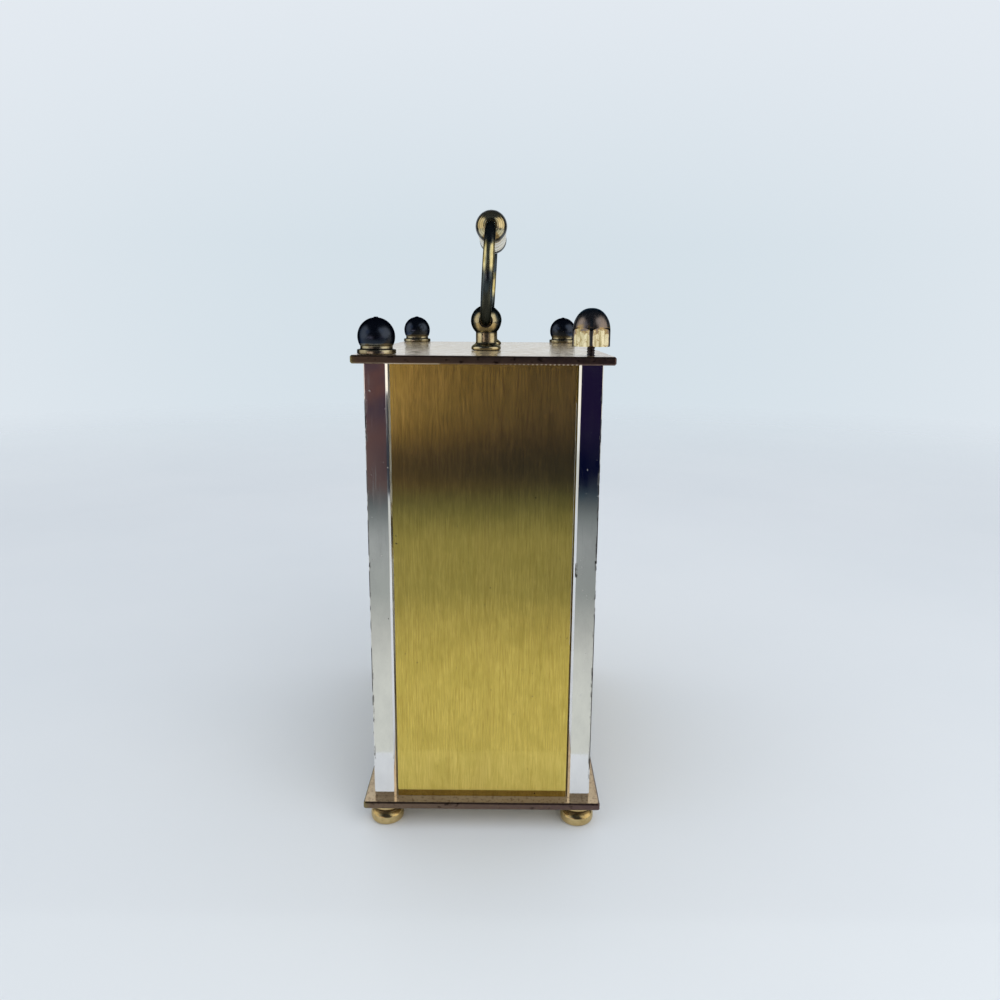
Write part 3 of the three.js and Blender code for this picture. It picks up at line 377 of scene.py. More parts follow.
def polished_brass(name, bright, deep, polish):
    look = Look(name, Metallic=1.0)
    lines = look.noise(300, 4, 0.65)
    colour = lines.span(0.35, 0.66).blend(deep, bright)
    colour = look.noise(90, 3).span(0.48, 0.75, 0, 0.4).blend(colour, tuple(c * 0.6 for c in deep))
    look.surface(
        look.noise(2100, 2).span(0.72, 0.78, 0, 0.7).blend(colour, (0.12, 0.08, 0.04)),
        lines.span(0.3, 0.7, polish, polish + 0.14),
        lines, 0.01, 0.5)


def plain_metal(name, bright, deep, polish):
    look = Look(name, Metallic=1.0)
    grain = look.noise((1800, 1800, 260), 3, 0.6)
    colour = grain.span(0.35, 0.65).blend(bright, deep)
    look.surface(
        look.noise(260, 4, 0.6).span(0.55, 0.75, 0, 0.5).blend(colour, tuple(c * 0.5 for c in deep)),
        grain.span(0.3, 0.7, polish, polish + 0.15),
        grain, 0.01, 0.5)


def moulded(name, light, dark, polish, texture=2600):
    """Moulded plastic with a fine eroded texture and slight flow marks"""
    look = Look(name, IOR=1.5)
    fine = look.noise(texture, 3, 0.6)
    flow = look.noise((60, 60, 140), 3, 0.5)
    look.surface(
        flow.span(0.35, 0.7).blend(light, dark),
        (fine + flow * 0.5).span(0.55, 1.05, polish, polish + 0.2),
        fine, 0.02, 0.35)


def enamel():
    look = Look("dial_enamel", IOR=1.5, Coat_Weight=0.25, Coat_Roughness=0.12)
    fine = look.noise(1700, 3, 0.6)
    colour = look.noise(70, 3).span(0.3, 0.75).blend((0.93, 0.9, 0.81), (0.87, 0.83, 0.72))
    look.surface(
        abs(look.x).ramp(20, 33, 0, 0.5).blend(colour, (0.8, 0.74, 0.6)),
        fine.span(0.35, 0.7, 0.32, 0.5),
        fine, 0.008, 0.4)


def clear_glass():
    """Clear glass with faint smears, which lets the lamps' light through to the dial"""
    look = Look("glass", IOR=1.5, Transmission_Weight=1.0)
    smear = look.noise((40, 40, 90), 4, 0.6)
    look.let_through(look.output("LightPath", "Is Shadow Ray"))
    look.surface(
        smear.span(0.3, 0.7).blend((0.99, 1.0, 0.995), (0.96, 0.985, 0.98)),
        smear.span(0.55, 0.8, 0.0, 0.06),
        smear, 0.004, 0.15)


def sleeve():
    """The battery's plain sleeve: a blue body with a light band and a plus sign, under a clear film"""
    look = Look("battery_sleeve", Metallic=0.35, Coat_Weight=0.6, Coat_Roughness=0.08)
    light = (0.72, 0.74, 0.76)
    fine = look.noise((900, 2400, 2400), 2, 0.5)
    colour = fine.span(0.2, 0.8).blend((0.042, 0.115, 0.235), (0.034, 0.098, 0.205))
    colour = look.x.ramp(8, 8.1).blend(colour, light)
    colour = (look.x.ramp(6.4, 6.5) * look.x.ramp(7.4, 7.3)).blend(colour, light)
    bars = [look.x.between(19.2 - wide, 19.2 + wide, 0.06)
            * look.z.between(28.05 - tall, 28.05 + tall, 0.06) for wide, tall in ((1.7, 0.32), (0.32, 1.7))]
    look.surface(
        (bars[0].most(bars[1]) * look.y.ramp(5, 5.1)).blend(colour, (0.04, 0.11, 0.23)),
        look.noise((60, 400, 400), 2, 0.5).span(0.2, 0.8, 0.24, 0.34),
        fine, 0.006, 0.3)


def copper_winding():
    look = Look("copper_wire", Metallic=1.0, Coat_Weight=0.5, Coat_Roughness=0.15)
    turns = look.math("SINE", look.x * (TURN / (0.16 * MM)))
    blotch = look.noise(500, 3)
    colour = turns.span(-0.6, 0.8).blend((0.2, 0.06, 0.02), (0.75, 0.33, 0.14))
    look.surface(
        blotch.span(0.4, 0.7, 0, 0.4).blend(colour, (0.4, 0.13, 0.05)),
        blotch.span(0.3, 0.7, 0.22, 0.36),
        turns, 0.04, 0.7)


def solder_mask():
    """A green board with lighter slanting tracks"""
    look = Look("board_green", IOR=1.5, Coat_Weight=0.4, Coat_Roughness=0.1)
    across = look.math("PINGPONG", look.x + look.z * 0.5, 1.1 * MM)
    track = across.ramp(0.35, 0.3)
    fine = look.noise(900, 3)
    colour = fine.span(0.3, 0.7).blend((0.02, 0.11, 0.045), (0.035, 0.15, 0.06))
    look.surface(
        track.blend(colour, (0.06, 0.26, 0.1)),
        fine.span(0.3, 0.7, 0.3, 0.45),
        track + fine, 0.03, 0.5)


# The materials. Turned brass takes its bright and deep colour, patina, polish, dulling in grooves and rim's tint, which
# paints shade on the rim.
brushed_brass("brushed_panel")
brushed_brass("frame_brass", stain=0.5)
bright_post()
plate_brass()
cap_nut_brass()
turned_brass("dark_brass", (0.52, 0.475, 0.34), (0.2, 0.17, 0.1), (0.042, 0.052, 0.078), 0.13, 0.05,
             (0.15, 0.17, 0.2))
turned_brass("handle_brass", (0.66, 0.59, 0.39), (0.33, 0.25, 0.13), (0.03, 0.04, 0.045), 0.13, 0.12,
             (0.2, 0.2, 0.18), away_from_pin)
turned_brass("grip_brass", (0.78, 0.68, 0.43), (0.52, 0.4, 0.19), (0.05, 0.055, 0.052), 0.12, 0.1)
# The arm's darkening near its ends is painted shade, in the colour given as patina
turned_brass("arm_brass", (0.80, 0.72, 0.42), (0.42, 0.35, 0.13), (0.085, 0.105, 0.115), 0.12, 0.08,
             (0.25, 0.22, 0.18), arm_ends)
turned_brass("foot_brass", (0.74, 0.57, 0.28), (0.5, 0.36, 0.15), (0.08, 0.05, 0.02), 0.15)
plain_metal("dark_steel", (0.15, 0.14, 0.18), (0.07, 0.065, 0.09), 0.28)
plain_metal("steel", (0.62, 0.63, 0.65), (0.45, 0.46, 0.48), 0.22)
polished_brass("gear_brass", (0.82, 0.66, 0.3), (0.62, 0.46, 0.18), 0.2)
clear_glass()
enamel()
moulded("dial_print", (0.012, 0.012, 0.014), (0.02, 0.019, 0.02), 0.42, 3200)
moulded("hand_black", (0.01, 0.01, 0.012), (0.02, 0.018, 0.016), 0.16, 1500)
moulded("black_plastic", (0.03, 0.03, 0.033), (0.018, 0.018, 0.02), 0.38)
moulded("wheel_plastic", (0.82, 0.79, 0.7), (0.72, 0.68, 0.57), 0.35)
sleeve()
copper_winding()
solder_mask()


# Meshes
def placed(name, mesh, node, looks, stands_for=()):
    """A new piece from mesh, riding on the body of a CAD node, with its materials"""
    piece = linked(name, mesh)
    mesh.name = name
    for look in [looks] if isinstance(looks, str) else looks:
        mesh.materials.append(LOOKS[look])
    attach(piece, BODY_OF.get(node, node))
    if stands_for:
        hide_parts(*stands_for)
    return piece


def stand_in(node, mesh, looks):
    """The fine piece that takes a CAD node's place"""
    return placed(node + "_fine", mesh, node, looks, (node,))


def shaded(bm, sharp_degrees=32.0):
    """bm as a mesh with outward faces, smooth but for its sharp edges"""
    bmesh.ops.recalc_face_normals(bm, faces=bm.faces)
    mesh = bpy.data.meshes.new("mesh")
    bm.to_mesh(mesh)
    bm.free()
    mesh.polygons.foreach_set("use_smooth", [True] * len(mesh.polygons))
    mesh.set_sharp_from_angle(angle=radians(sharp_degrees))
    return mesh


def keep_flats(piece):
    """Normals that leave the large faces flat beside their rounded edges"""
    modifier = piece.modifiers.new("flats", "WEIGHTED_NORMAL")
    modifier.keep_sharp = True
    modifier.weight = 100


def soften(bm, edges, width, steps):
    bmesh.ops.bevel(bm, geom=edges, offset=width * MM, offset_type="OFFSET", segments=steps, profile=0.5,
                    affect="EDGES", clamp_overlap=True)


def bridge(bm, one, two):
    """Faces between two loops of as many vertices"""
    for i in range(len(one)):
        k = (i + 1) % len(one)
        bm.faces.new((one[i], one[k], two[k], two[i]))


def rounded(points, radius, steps=3):
    """A profile with each inner corner rounded"""
    done = [points[0]]
    for before, here, after in zip(points, points[1:], points[2:]):
        b, h, a = (Vector(p[:2]) for p in (before, here, after))
        r = min(radius, (b - h).length * 0.45, (a - h).length * 0.45)
        if r < 0.004 or abs((h - b).normalized().cross((a - h).normalized())) < 0.02:
            done.append(here)
            continue
        start, end = h + (b - h).normalized() * r, h + (a - h).normalized() * r
        for i in range(steps + 1):
            t = i / steps
            p = start * (1 - t) ** 2 + h * 2 * t * (1 - t) + end * t**2
            done.append((p.x, p.y, here[2] if len(here) > 2 else 0))
    done.append(points[-1])
    return done


def turned(profile, place, segments=64, axis="Z", sharp=32.0):
    """A turned solid. profile is a list of (radius, height, groove share) or gives one for an angle;
    it starts and ends on the axis, or closes as a ring. Lengths are millimetres."""
    # The groove share lays patina in hollows, and painted shade on the grip's ball rims and the cap nut's corners
    bm = bmesh.new()
    layer = bm.verts.layers.float.new("groove")
    rings = []
    for i in range(segments):
        angle = TURN * i / segments
        points = profile(angle) if callable(profile) else profile
        rings.append([(p[0] * cos(angle), p[0] * sin(angle), p[1], p[2] if len(p) > 2 else 0, p[0]) for p in points])
    closed = rings[0][0][4] > 0
    poles = {}

    def vertex(ring, k):
        x, y, z, groove, radius = rings[ring][k]
        if radius == 0 and k in poles:
            return poles[k]
        v = bm.verts.new((x * MM, y * MM, z * MM))
        v[layer] = groove
        if radius == 0:
            poles[k] = v
        return v

    count = len(rings[0])
    grid = [[vertex(i, k) for k in range(count)] for i in range(segments)]
    for i in range(segments):
        here, beside = grid[i], grid[(i + 1) % segments]
        for k in range(count if closed else count - 1):
            after = (k + 1) % count
            corners = [here[k], beside[k], beside[after], here[after]]
            corners = [v for n, v in enumerate(corners) if v not in corners[:n]]
            if len(corners) > 2:
                bm.faces.new(corners)
    turn = {"Z": Matrix.Identity(4), "X": Matrix.Rotation(pi / 2, 4, "Y"), "Y": Matrix.Rotation(-pi / 2, 4, "X")}[axis]
    bmesh.ops.transform(bm, matrix=Matrix.Translation(Vector(place) * MM) @ turn, verts=bm.verts)
    return shaded(bm, sharp)


def dressed(node, look, width=0.06, steps=2):
    """A copy of a CAD node with its split corners joined, its flat triangles joined and its sharp edges rounded"""
    source = NODES[node].data

    def start():
        bm = bmesh.new()
        bm.from_mesh(source)
        bmesh.ops.remove_doubles(bm, verts=bm.verts, dist=2e-7)
        bmesh.ops.dissolve_limit(bm, angle_limit=radians(0.4), verts=bm.verts, edges=bm.edges,
                                 use_dissolve_boundaries=False)
        return bm

    bm = start()
    volume = bm.calc_volume()
    soften(bm, [e for e in bm.edges if e.is_manifold and e.calc_face_angle() > radians(40)], width, steps)
    if not all(e.is_manifold for e in bm.edges) or abs(bm.calc_volume() / volume - 1) >= 0.04:
        bm.free()
        bm = start()
    mesh = shaded(bm)
    for loose in [a for a in mesh.attributes if a.name == "custom_normal"]:
        mesh.attributes.remove(loose)
    piece = stand_in(node, mesh, look)
    keep_flats(piece)
    return piece


def tube(points, radius, sides=40, caps=6):
    """A round bar along points, which lie in one plane, with domed ends"""
    bm = bmesh.new()
    bm.verts.layers.float.new("groove")
    normal = (points[1] - points[0]).cross(points[len(points) // 2] - points[0]).normalized()
    first, last = (points[1] - points[0]).normalized(), (points[-1] - points[-2]).normalized()

    def cap(end, along, i):
        a = pi / 2 * i / caps
        return end + along * radius * 0.5 * (1 - sin(a)), radius * sin(a) or 1e-3

    stations = [(*cap(points[0], first, i), first) for i in range(caps)]
    stations += [(p, radius, (points[min(i + 1, len(points) - 1)] - points[max(i - 1, 0)]).normalized())
                 for i, p in enumerate(points)]
    stations += [(*cap(points[-1], -last, i), last) for i in reversed(range(caps))]
    rings = []
    for centre, r, along in stations:
        side = along.cross(normal).normalized()
        rings.append([bm.verts.new((centre + (side * cos(TURN * k / sides) + normal * sin(TURN * k / sides)) * r) * MM)
                      for k in range(sides)])
    for one, two in zip(rings, rings[1:]):
        bridge(bm, one, two)
    bm.faces.new(rings[0])
    bm.faces.new(reversed(rings[-1]))
    return shaded(bm, 40)


# Corner pieces: finials, cap nut, rods and feet
ROD_BORE = 0.8


def axis_of(node):
    """The x and y of a standing node's axis, and its lowest and highest z"""
    low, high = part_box(node)
    return (low.x + high.x) / 2 / MM, (low.y + high.y) / 2 / MM, low.z / MM, high.z / MM


def arc(centre_h, radius, start, end, steps):
    """Points of a circle round (0, centre_h), from one angle above the horizontal to another, in degrees"""
    angles = [radians(start + (end - start) * i / steps) for i in range(steps + 1)]
    return [(radius * cos(a), centre_h + radius * sin(a)) for a in angles]


def finial(node):
    x, y, bottom, top = axis_of(node)
    depth, ball, neck, seat = 3.2, 3.13, 2.75, 1.35
    centre = seat + sqrt(ball**2 - neck**2)
    height = top - bottom
    low_angle = -degrees(asin((centre - seat) / ball))
    profile = [
        (0, depth), (ROD_BORE, depth - 0.3), (ROD_BORE, 0.12), (ROD_BORE + 0.12, 0),
        (3.12, 0, 0.6), (3.25, 0.07, 0.1), (3.25, 0.35, 0), (3.25, 0.64, 0), (3.16, 0.76, 0.15), (2.8, 0.8, 0.8),
        (2.7, 0.88, 0.5), (2.7, 1.1, 0), (2.68, 1.32, 0.1),
        *[(*p, min(1.0, 0.4 + 0.3 * i)) for i, p in enumerate(arc(centre, ball, low_angle + 3, 83, 30))],
        (0.36, height - 0.03, 1), (0.22, height, 1), (0, height, 1),
    ]
    stand_in(node, turned(rounded(profile, 0.09), (x, y, bottom)), "dark_brass")


def foot(node):
    x, y, bottom, top = axis_of(node)
    height = top - bottom
    profile = [
        (0, 0.12, 0.3), (2.3, 0.12, 0.3), (2.4, 0, 0.2), (2.62, 0, 0.1), (2.9, 0.22, 0), (3.06, 0.6, 0),
        (3.1, 1.2, 0), (3.06, 1.62, 0), (2.86, 2.0, 0.1), (2.5, 2.4, 0.7), (2.42, 2.6, 1.0), (2.5, 2.8, 0.8),
        (2.95, 3.15, 0.2), (3.1, 3.4, 0), (3.1, height - 0.15, 0), (2.95, height, 0.3),
        (ROD_BORE + 0.1, height), (ROD_BORE, height - 0.1), (ROD_BORE, 1.3), (0, 1.2),
    ]
    stand_in(node, turned(rounded(profile, 0.14), (x, y, bottom)), "foot_brass")


def cap_nut(node):
    """A domed hexagonal nut, turned a little. The groove share paints shade along its corners, and darkens its dome
    towards the top.
    """
    x, y, bottom, top = axis_of(node)
    apothem = 3.1
    corner = apothem / cos(pi / 6)
    hex_height, chamfer, height, depth, turn = 3.05, 0.55, top - bottom, 3.4, radians(-6)

    def profile(angle):
        within = fmod(angle - turn + 1e-9, TURN / 6) - TURN / 12
        reach = apothem / cos(within)
        # Painted shade: a dark line down each corner of the hex, carried a little way up the dome
        painted_corner_shade = min(1.0, max(0.0, abs(degrees(within)) - 24.5) / 3.0)
        low = max(0.0, reach - (corner - 0.3))
        high = hex_height - chamfer * ((reach - apothem) / (corner - apothem))
        dome = []
        for i in range(1, 20):
            rise = sin(pi / 2 * i / 20)
            dome.append((apothem * (1 - rise**1.6) ** 0.43, hex_height + (height - hex_height) * rise,
                         0.72 + 0.48 * rise + 0.5 * painted_corner_shade * max(0, 1 - 1.6 * rise)))
        flat = [(reach, low + (high - low) * t, 1.6 * painted_corner_shade + max(0, t - 0.6) * 1.6)
                for t in (0, 0.03, 0.2, 0.4, 0.6, 0.75, 0.86, 0.95, 1)]
        return [(0, depth, 0), (ROD_BORE, depth - 0.4, 1), (ROD_BORE, 0.14, 1), (ROD_BORE + 0.14, 0, 0.8),
                (reach - low - 0.02, 0, 0.3), *flat, (apothem, hex_height + 0.01, 0.7), *dome, (0, height, 1.15)]

    stand_in(node, turned(profile, (x, y, bottom), 120, sharp=24), "cap_nut_brass")


def threaded_rod(node):
    """A rod with a real thread near both ends"""
    x, y, bottom, top = axis_of(node)
    outer, depth, pitch, plain = 0.7, 0.13, 0.42, 0.61
    length = top - bottom
    lower, upper = 4.5, length - 6.5
    marks = [pitch / 8 * i for i in range(1, int(lower / pitch * 8))]
    marks += [upper + pitch / 8 * i for i in range(1, int((length - upper) / pitch * 8))]
    marks = [m for m in marks if 0.12 < m < length - 0.12]

    def profile(angle):
        points = [(0, 0), (plain - 0.15, 0), (plain - 0.05, 0.08)]
        for m in marks:
            flank = abs((m / pitch - angle / TURN) % 1 * 2 - 1)
            fade = min(1.0, abs(m - lower) / 0.4, abs(m - upper) / 0.4)
            points.append((plain + (outer - depth * flank - plain) * fade, m, flank * 0.8))
        return [*points, (plain - 0.05, length - 0.08), (plain - 0.15, length), (0, length)]

    stand_in(node, turned(profile, (x, y, bottom), 28, sharp=50), "dark_steel")


def ring_nut(node, look, flats, bore, axis="Z"):
    """A plain hexagonal nut with turned corners"""
    low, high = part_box(node)
    middle = (low + high) / 2 / MM
    apothem = flats / 2
    corner = apothem / cos(pi / 6)
    height = ((high - low).z if axis == "Z" else (high - low).y) / MM
    cut = (corner - apothem) * 0.55

    def profile(angle):
        reach = apothem / cos(fmod(angle, TURN / 6) - TURN / 12)
        low_h = cut * (reach - apothem) / (corner - apothem) * 0.6
        return [(bore + 0.12, 0, 0.5), (apothem * 0.97, 0, 0), (reach, low_h, 0), (reach, height - low_h, 0),
                (apothem * 0.97, height, 0), (bore + 0.12, height, 0.5), (bore, height - 0.12, 1), (bore, 0.12, 1)]

    place = (middle.x, middle.y, low.z / MM) if axis == "Z" else (middle.x, low.y / MM, middle.z)
    stand_in(node, turned(profile, place, 96, axis, 24), look)


for corner_name in ("front_right", "front_left", "rear_right", "rear_left"):
    foot("foot_" + corner_name)
    threaded_rod("tie_rod_" + corner_name)
    dressed("post_" + corner_name, "bright_post", 0.05)
for corner_name in ("front_right", "front_left", "rear_left"):
    finial("finial_" + corner_name)
cap_nut("cap_nut_rear_right")
for plate in ("top_plate", "base_plate"):
    dressed(plate, "plate_brass", 0.05)
for panel in ("side_panel_right", "side_panel_left"):
    dressed(panel, "brushed_panel", 0.04)


def carve(piece, cutter_mesh):
    """Takes the cutter's mesh out of the piece, and leaves no modifier behind"""
    piece.modifiers.clear()
    cutter = linked("cutter", cutter_mesh)
    cut = piece.modifiers.new("cut", "BOOLEAN")
    cut.object, cut.operation, cut.solver = cutter, "DIFFERENCE", "EXACT"
    result = bpy.data.meshes.new_from_object(piece.evaluated_get(bpy.context.evaluated_depsgraph_get()))
    piece.modifiers.clear()
    piece.data = result
    piece.data.set_sharp_from_angle(angle=radians(32))
    bpy.data.objects.remove(cutter)


# Handle
PIVOT = Vector((0, 0, PIN_Z))
LEAN = radians(3)
HANDLE_UP = Vector((0, sin(LEAN), cos(LEAN)))


def handle_post(node, side):
    """A turned post with a rounded foot, a neck and a ball, bored across for the arm's pin"""
    x, y, bottom, top = axis_of(node)
    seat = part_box("top_plate")[1].z / MM + 0.05 - bottom
    ball, bore, bore_start, bore_depth = 2.88, 1.3, 1.08, 3
    centre = top - bottom - ball
    profile = [
        (0, 0), (0.88, 0), (1.0, 0.12), (1.0, seat - 0.02),
        (2.62, seat, 0.8), (2.78, seat + 0.14, 0.3), (2.82, seat + 0.36, 0), (2.8, seat + 0.56, 0),
        (2.68, seat + 0.74, 0.2), (2.42, seat + 0.95, 0.1), (2.14, seat + 1.14, 0.15),
        (2.0, seat + 1.3, 0.6), (1.93, seat + 1.4, 0.4), (1.93, seat + 1.6, 0), (1.93, seat + 3.1, 0),
        (1.93, centre - ball * sin(radians(47.9)), 0.9),
        *[(*p, 0.1) for p in arc(centre, ball, -46, 90, 30)[:-1]],
        (0, top - bottom, 0.6),
    ]
    mesh = turned(rounded(profile, 0.1), (x, y, bottom))
    piece = stand_in(node, mesh, "handle_brass")
    from_x = side * (abs(x) + bore_start)
    carve(piece, turned([(0, 0), (bore, 0), (bore, bore_depth), (0, bore_depth)],
                        (min(from_x, from_x + side * bore_depth), y, bottom + centre), 40, "X"))


def handle_arm(node, side):
    """The bent arm: straight out of the post's ball, round a half circle, straight into the grip"""
    reach, straight, radius = 16.88, 1.5, 8.525
    points = [(reach - straight + straight * i / 4, 0) for i in range(4)]
    points += [(reach + radius * sin(pi * i / 48), radius - radius * cos(pi * i / 48)) for i in range(49)]
    points += [(reach - straight * i / 4, 2 * radius) for i in range(1, 5)]
    line = [PIVOT + Vector((side * x, 0, 0)) + HANDLE_UP * h for x, h in points]
    stand_in(node, tube(line, 1.0), "arm_brass")


def handle_grip(node):
    """The turned grip: ringed ball ends with a bore and painted shade round their rims, necks, and a barrel with three
    ring grooves
    """
    ball, middle, bore, bore_end, neck, barrel, groove = 2.925, 14.0, 1.1, 15.28, 1.5, 2.8, 2.4
    ring_from, ring_step, ring_depth = 1.28, 0.44, 0.055
    half = [(0, bore_end, 1), (bore, bore_end, 1), (bore, middle + sqrt(ball**2 - bore**2) - 0.08, 0.8)]
    for i in range(45):
        a = radians(67 - i * (67 + 59.3) / 44)
        r, h = ball * cos(a), middle + ball * sin(a)
        ring = max(0.0, cos(TURN * (r - ring_from) / ring_step)) ** 3 if a > 0 and 1.2 < r < 2.5 else 0.0
        # Painted shade: the groove share darkens each end ball towards its outer rim
        rim = min(1.0, max(0.0, r / ball - 0.82) / 0.07)
        half.append((r - ring_depth * ring * cos(a), h - ring_depth * ring * sin(a), max(0.7 * ring, 0.95 * rim)))
    half += [(neck, 11.42, 1), (neck - 0.08, 11.15, 1), (neck, 10.9, 1), (2.2, 10.87, 0.8), (2.6, 10.8, 0.3),
             (barrel - 0.04, 10.55, 0), (barrel, 10.2, 0), (barrel, 9.0, 0)]
    cut = [(barrel, 0.5, 0), (barrel - 0.02, 0.4, 0.1), (2.62, 0.3, 0.7), (groove + 0.03, 0.15, 1), (groove, 0, 1)]
    half += [(r, 7 + h, g) for r, h, g in cut] + [(r, 7 - h, g) for r, h, g in reversed(cut[:-1])]
    half += [(barrel, 4.5, 0), (barrel, 2.5, 0), *cut]
    profile = half + [(r, -h, g) for r, h, g in reversed(half[:-1])]
    mesh = turned(profile, (0, 0, 0), 72, "X", 40)
    mesh.transform(Matrix.Translation((PIVOT + HANDLE_UP * 17.05) * MM) @ Matrix.Rotation(-LEAN, 4, "X"))
    stand_in(node, mesh, "grip_brass")


for side_name, side_sign in (("right", 1), ("left", -1)):
    handle_post("handle_post_" + side_name, side_sign)
    ring_nut("handle_nut_" + side_name, "handle_brass", 4.0, 1.1)
    handle_arm("handle_arm_" + side_name, side_sign)
handle_grip("handle_grip")


# Front: frame, glass, dial with its print, hands
dressed("front_frame", "frame_brass", 0.12, 3)
dressed("front_glass", "glass", 0.1)
dial = dressed("dial", ("dial_enamel", "dial_print"), 0.05)
dressed("hour_hand", "hand_black", 0.09, 3)
dressed("minute_hand", "hand_black", 0.09, 3)
dressed("minute_hand_nut", "gear_brass", 0.08)
dressed("back_panel", "frame_brass", 0.08)

DIAL_MARK_HEIGHT, DIAL_CENTRE_Z = 0.25, 47.3
DIAL_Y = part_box("dial")[0].y / MM + DIAL_MARK_HEIGHT
PRINT_THICKNESS = 0.05
for face in dial.data.polygons:
    face.material_index = int(face.center.y / MM < DIAL_Y - 0.02)


def printed(name, bm):
    """A mesh drawn in X and Y, with its face towards +Z, as print on the dial's front"""
    mesh = shaded(bm, 30)
    mesh.transform(Matrix.Translation(Vector((0, DIAL_Y, DIAL_CENTRE_Z)) * MM) @ Matrix.Rotation(pi / 2, 4, "X"))
    placed(name, mesh, "dial", "dial_print")


def print_ring(bm, inner, outer, steps=180):
    half = PRINT_THICKNESS / 2
    rings = [[bm.verts.new((r * MM * cos(TURN * i / steps), r * MM * sin(TURN * i / steps), z * MM))
              for i in range(steps)] for r, z in ((inner, -half), (outer, -half), (outer, half), (inner, half))]
    for one, two in zip(rings, rings[1:] + rings[:1]):
        bridge(bm, one, two)


def minute_track():
    """Two rings, and a mark for each minute between the hours"""
    bm = bmesh.new()
    width, length, radius = 0.24, 0.95, 24.0
    for minute in range(60):
        if minute % 5:
            matrix = (Matrix.Rotation(-TURN * minute / 60, 4, "Z") @ Matrix.Translation(Vector((0, radius, 0)) * MM)
                      @ Matrix.Diagonal((width * MM, length * MM, PRINT_THICKNESS * MM, 1)))
            bmesh.ops.create_cube(bm, size=1, matrix=matrix)
    print_ring(bm, 24.5, 24.66)
    print_ring(bm, 20.0, 20.1)
    printed("dial_minute_track", bm)


def numerals():
    """Plain numbers 1 to 12 inside the hour marks"""
    parts = bmesh.new()
    radius = 17.3
    for hour in range(1, 13):
        curve = bpy.data.curves.new("number", "FONT")
        curve.body = str(hour)
        curve.size = 4.6 * MM
        curve.extrude = PRINT_THICKNESS / 2 * MM
        curve.align_x, curve.align_y = "CENTER", "CENTER"
        curve.resolution_u = 6
        words = linked("number", curve)
        bpy.context.view_layer.update()
        made = bpy.data.meshes.new_from_object(words.evaluated_get(bpy.context.evaluated_depsgraph_get()))
        middle = [(min(v.co[k] for v in made.vertices) + max(v.co[k] for v in made.vertices)) / 2 for k in (0, 1)]
        a = TURN * hour / 12
        centre = Vector((radius * sin(a), radius * cos(a), 0)) * MM
        made.transform(Matrix.Translation(centre - Vector((*middle, 0))))
        parts.from_mesh(made)
        bpy.data.objects.remove(words)
    bmesh.ops.remove_doubles(parts, verts=parts.verts, dist=1e-7)
    printed("dial_numbers", parts)


minute_track()
numerals()


# Movement
for node_names, look_name, round_width in (
    ("movement_tray movement_cover", "black_plastic", 0.12),
    ("train_bridge seconds_wheel third_wheel intermediate_wheel motion_wheel hour_wheel coil_bobbin",
     "wheel_plastic", 0.03),
    ("centre_wheel cannon_pinion", "gear_brass", 0.03),
    ("rotor stator coil_core dial_washer battery_contact_positive battery_contact_negative quartz_crystal",
     "steel", 0.03),
    ("circuit_board", "board_green", 0.04),
    ("coil_winding", "copper_wire", 0.05),
):
    for node_name in node_names.split():
        dressed(node_name, look_name, round_width)
ring_nut("dial_nut", "gear_brass", 11.0, 3.9, "Y")


def prism(bm, outline, low_y, high_y, hole=None):
    """A closed raised shape towards +Y. outline, and hole with as many points, are (x, z) in millimetres."""
    loops = [[[bm.verts.new((x * MM, y * MM, z * MM)) for x, z in loop] for y in (low_y, high_y)]
             for loop in (outline, hole) if loop]
    for lower, upper in loops:
        bridge(bm, lower, upper)
    for level in (0, 1):
        if hole:
            bridge(bm, loops[0][level], loops[1][level])
        else:
            bm.faces.new(loops[0][level])


def round_box(left, bottom, right, top, radius, steps=6):
    """The outline of a rectangle with round corners"""
    corners = ((right - radius, top - radius, 0), (left + radius, top - radius, 90),
               (left + radius, bottom + radius, 180), (right - radius, bottom + radius, 270))
    return [(x + radius * cos(radians(start + 90 * i / steps)), z + radius * sin(radians(start + 90 * i / steps)))
            for x, z, start in corners for i in range(steps + 1)]


def circle(x, z, radius, steps=96):
    return [(x + radius * cos(TURN * i / steps), z + radius * sin(TURN * i / steps)) for i in range(steps)]


def arc_arrow(x, z, radius, start, end, head, width=0.6):
    """An arrow bent round (x, z), from one angle to another in degrees, with its head beyond the end"""
    def at(r, angle):
        return x + r * cos(radians(angle)), z + r * sin(radians(angle))
    angles = [start + (end - start) * i / 16 for i in range(17)]
    tip = end + copysign(degrees(head / radius), end - start)
    return [*[at(radius + width / 2, a) for a in angles], at(radius + width * 1.4, end), at(radius, tip),
            at(radius - width * 1.4, end), *[at(radius - width / 2, a) for a in reversed(angles)]]


def embossed(name, node, slot, shapes, low_y, high_y, softness=0.1):
    """Raised shapes on a node's back, each an outline or an outline and its hole, with softened edges"""
    bm = bmesh.new()
    for outline, *hole in shapes:
        prism(bm, outline, low_y, high_y, *hole)
    bmesh.ops.recalc_face_normals(bm, faces=bm.faces)
    soften(bm, [e for e in bm.edges if all(v.co.y > (high_y - 0.01) * MM for v in e.verts)
                and e.calc_face_angle() > 0.8], softness, 2)
    placed(name, shaded(bm), node, slot)


KNOB_LOW, KNOB_HIGH = box_mm("set_knob")
KNOB_X, KNOB_Z = (KNOB_LOW.x + KNOB_HIGH.x) / 2, (KNOB_LOW.z + KNOB_HIGH.z) / 2


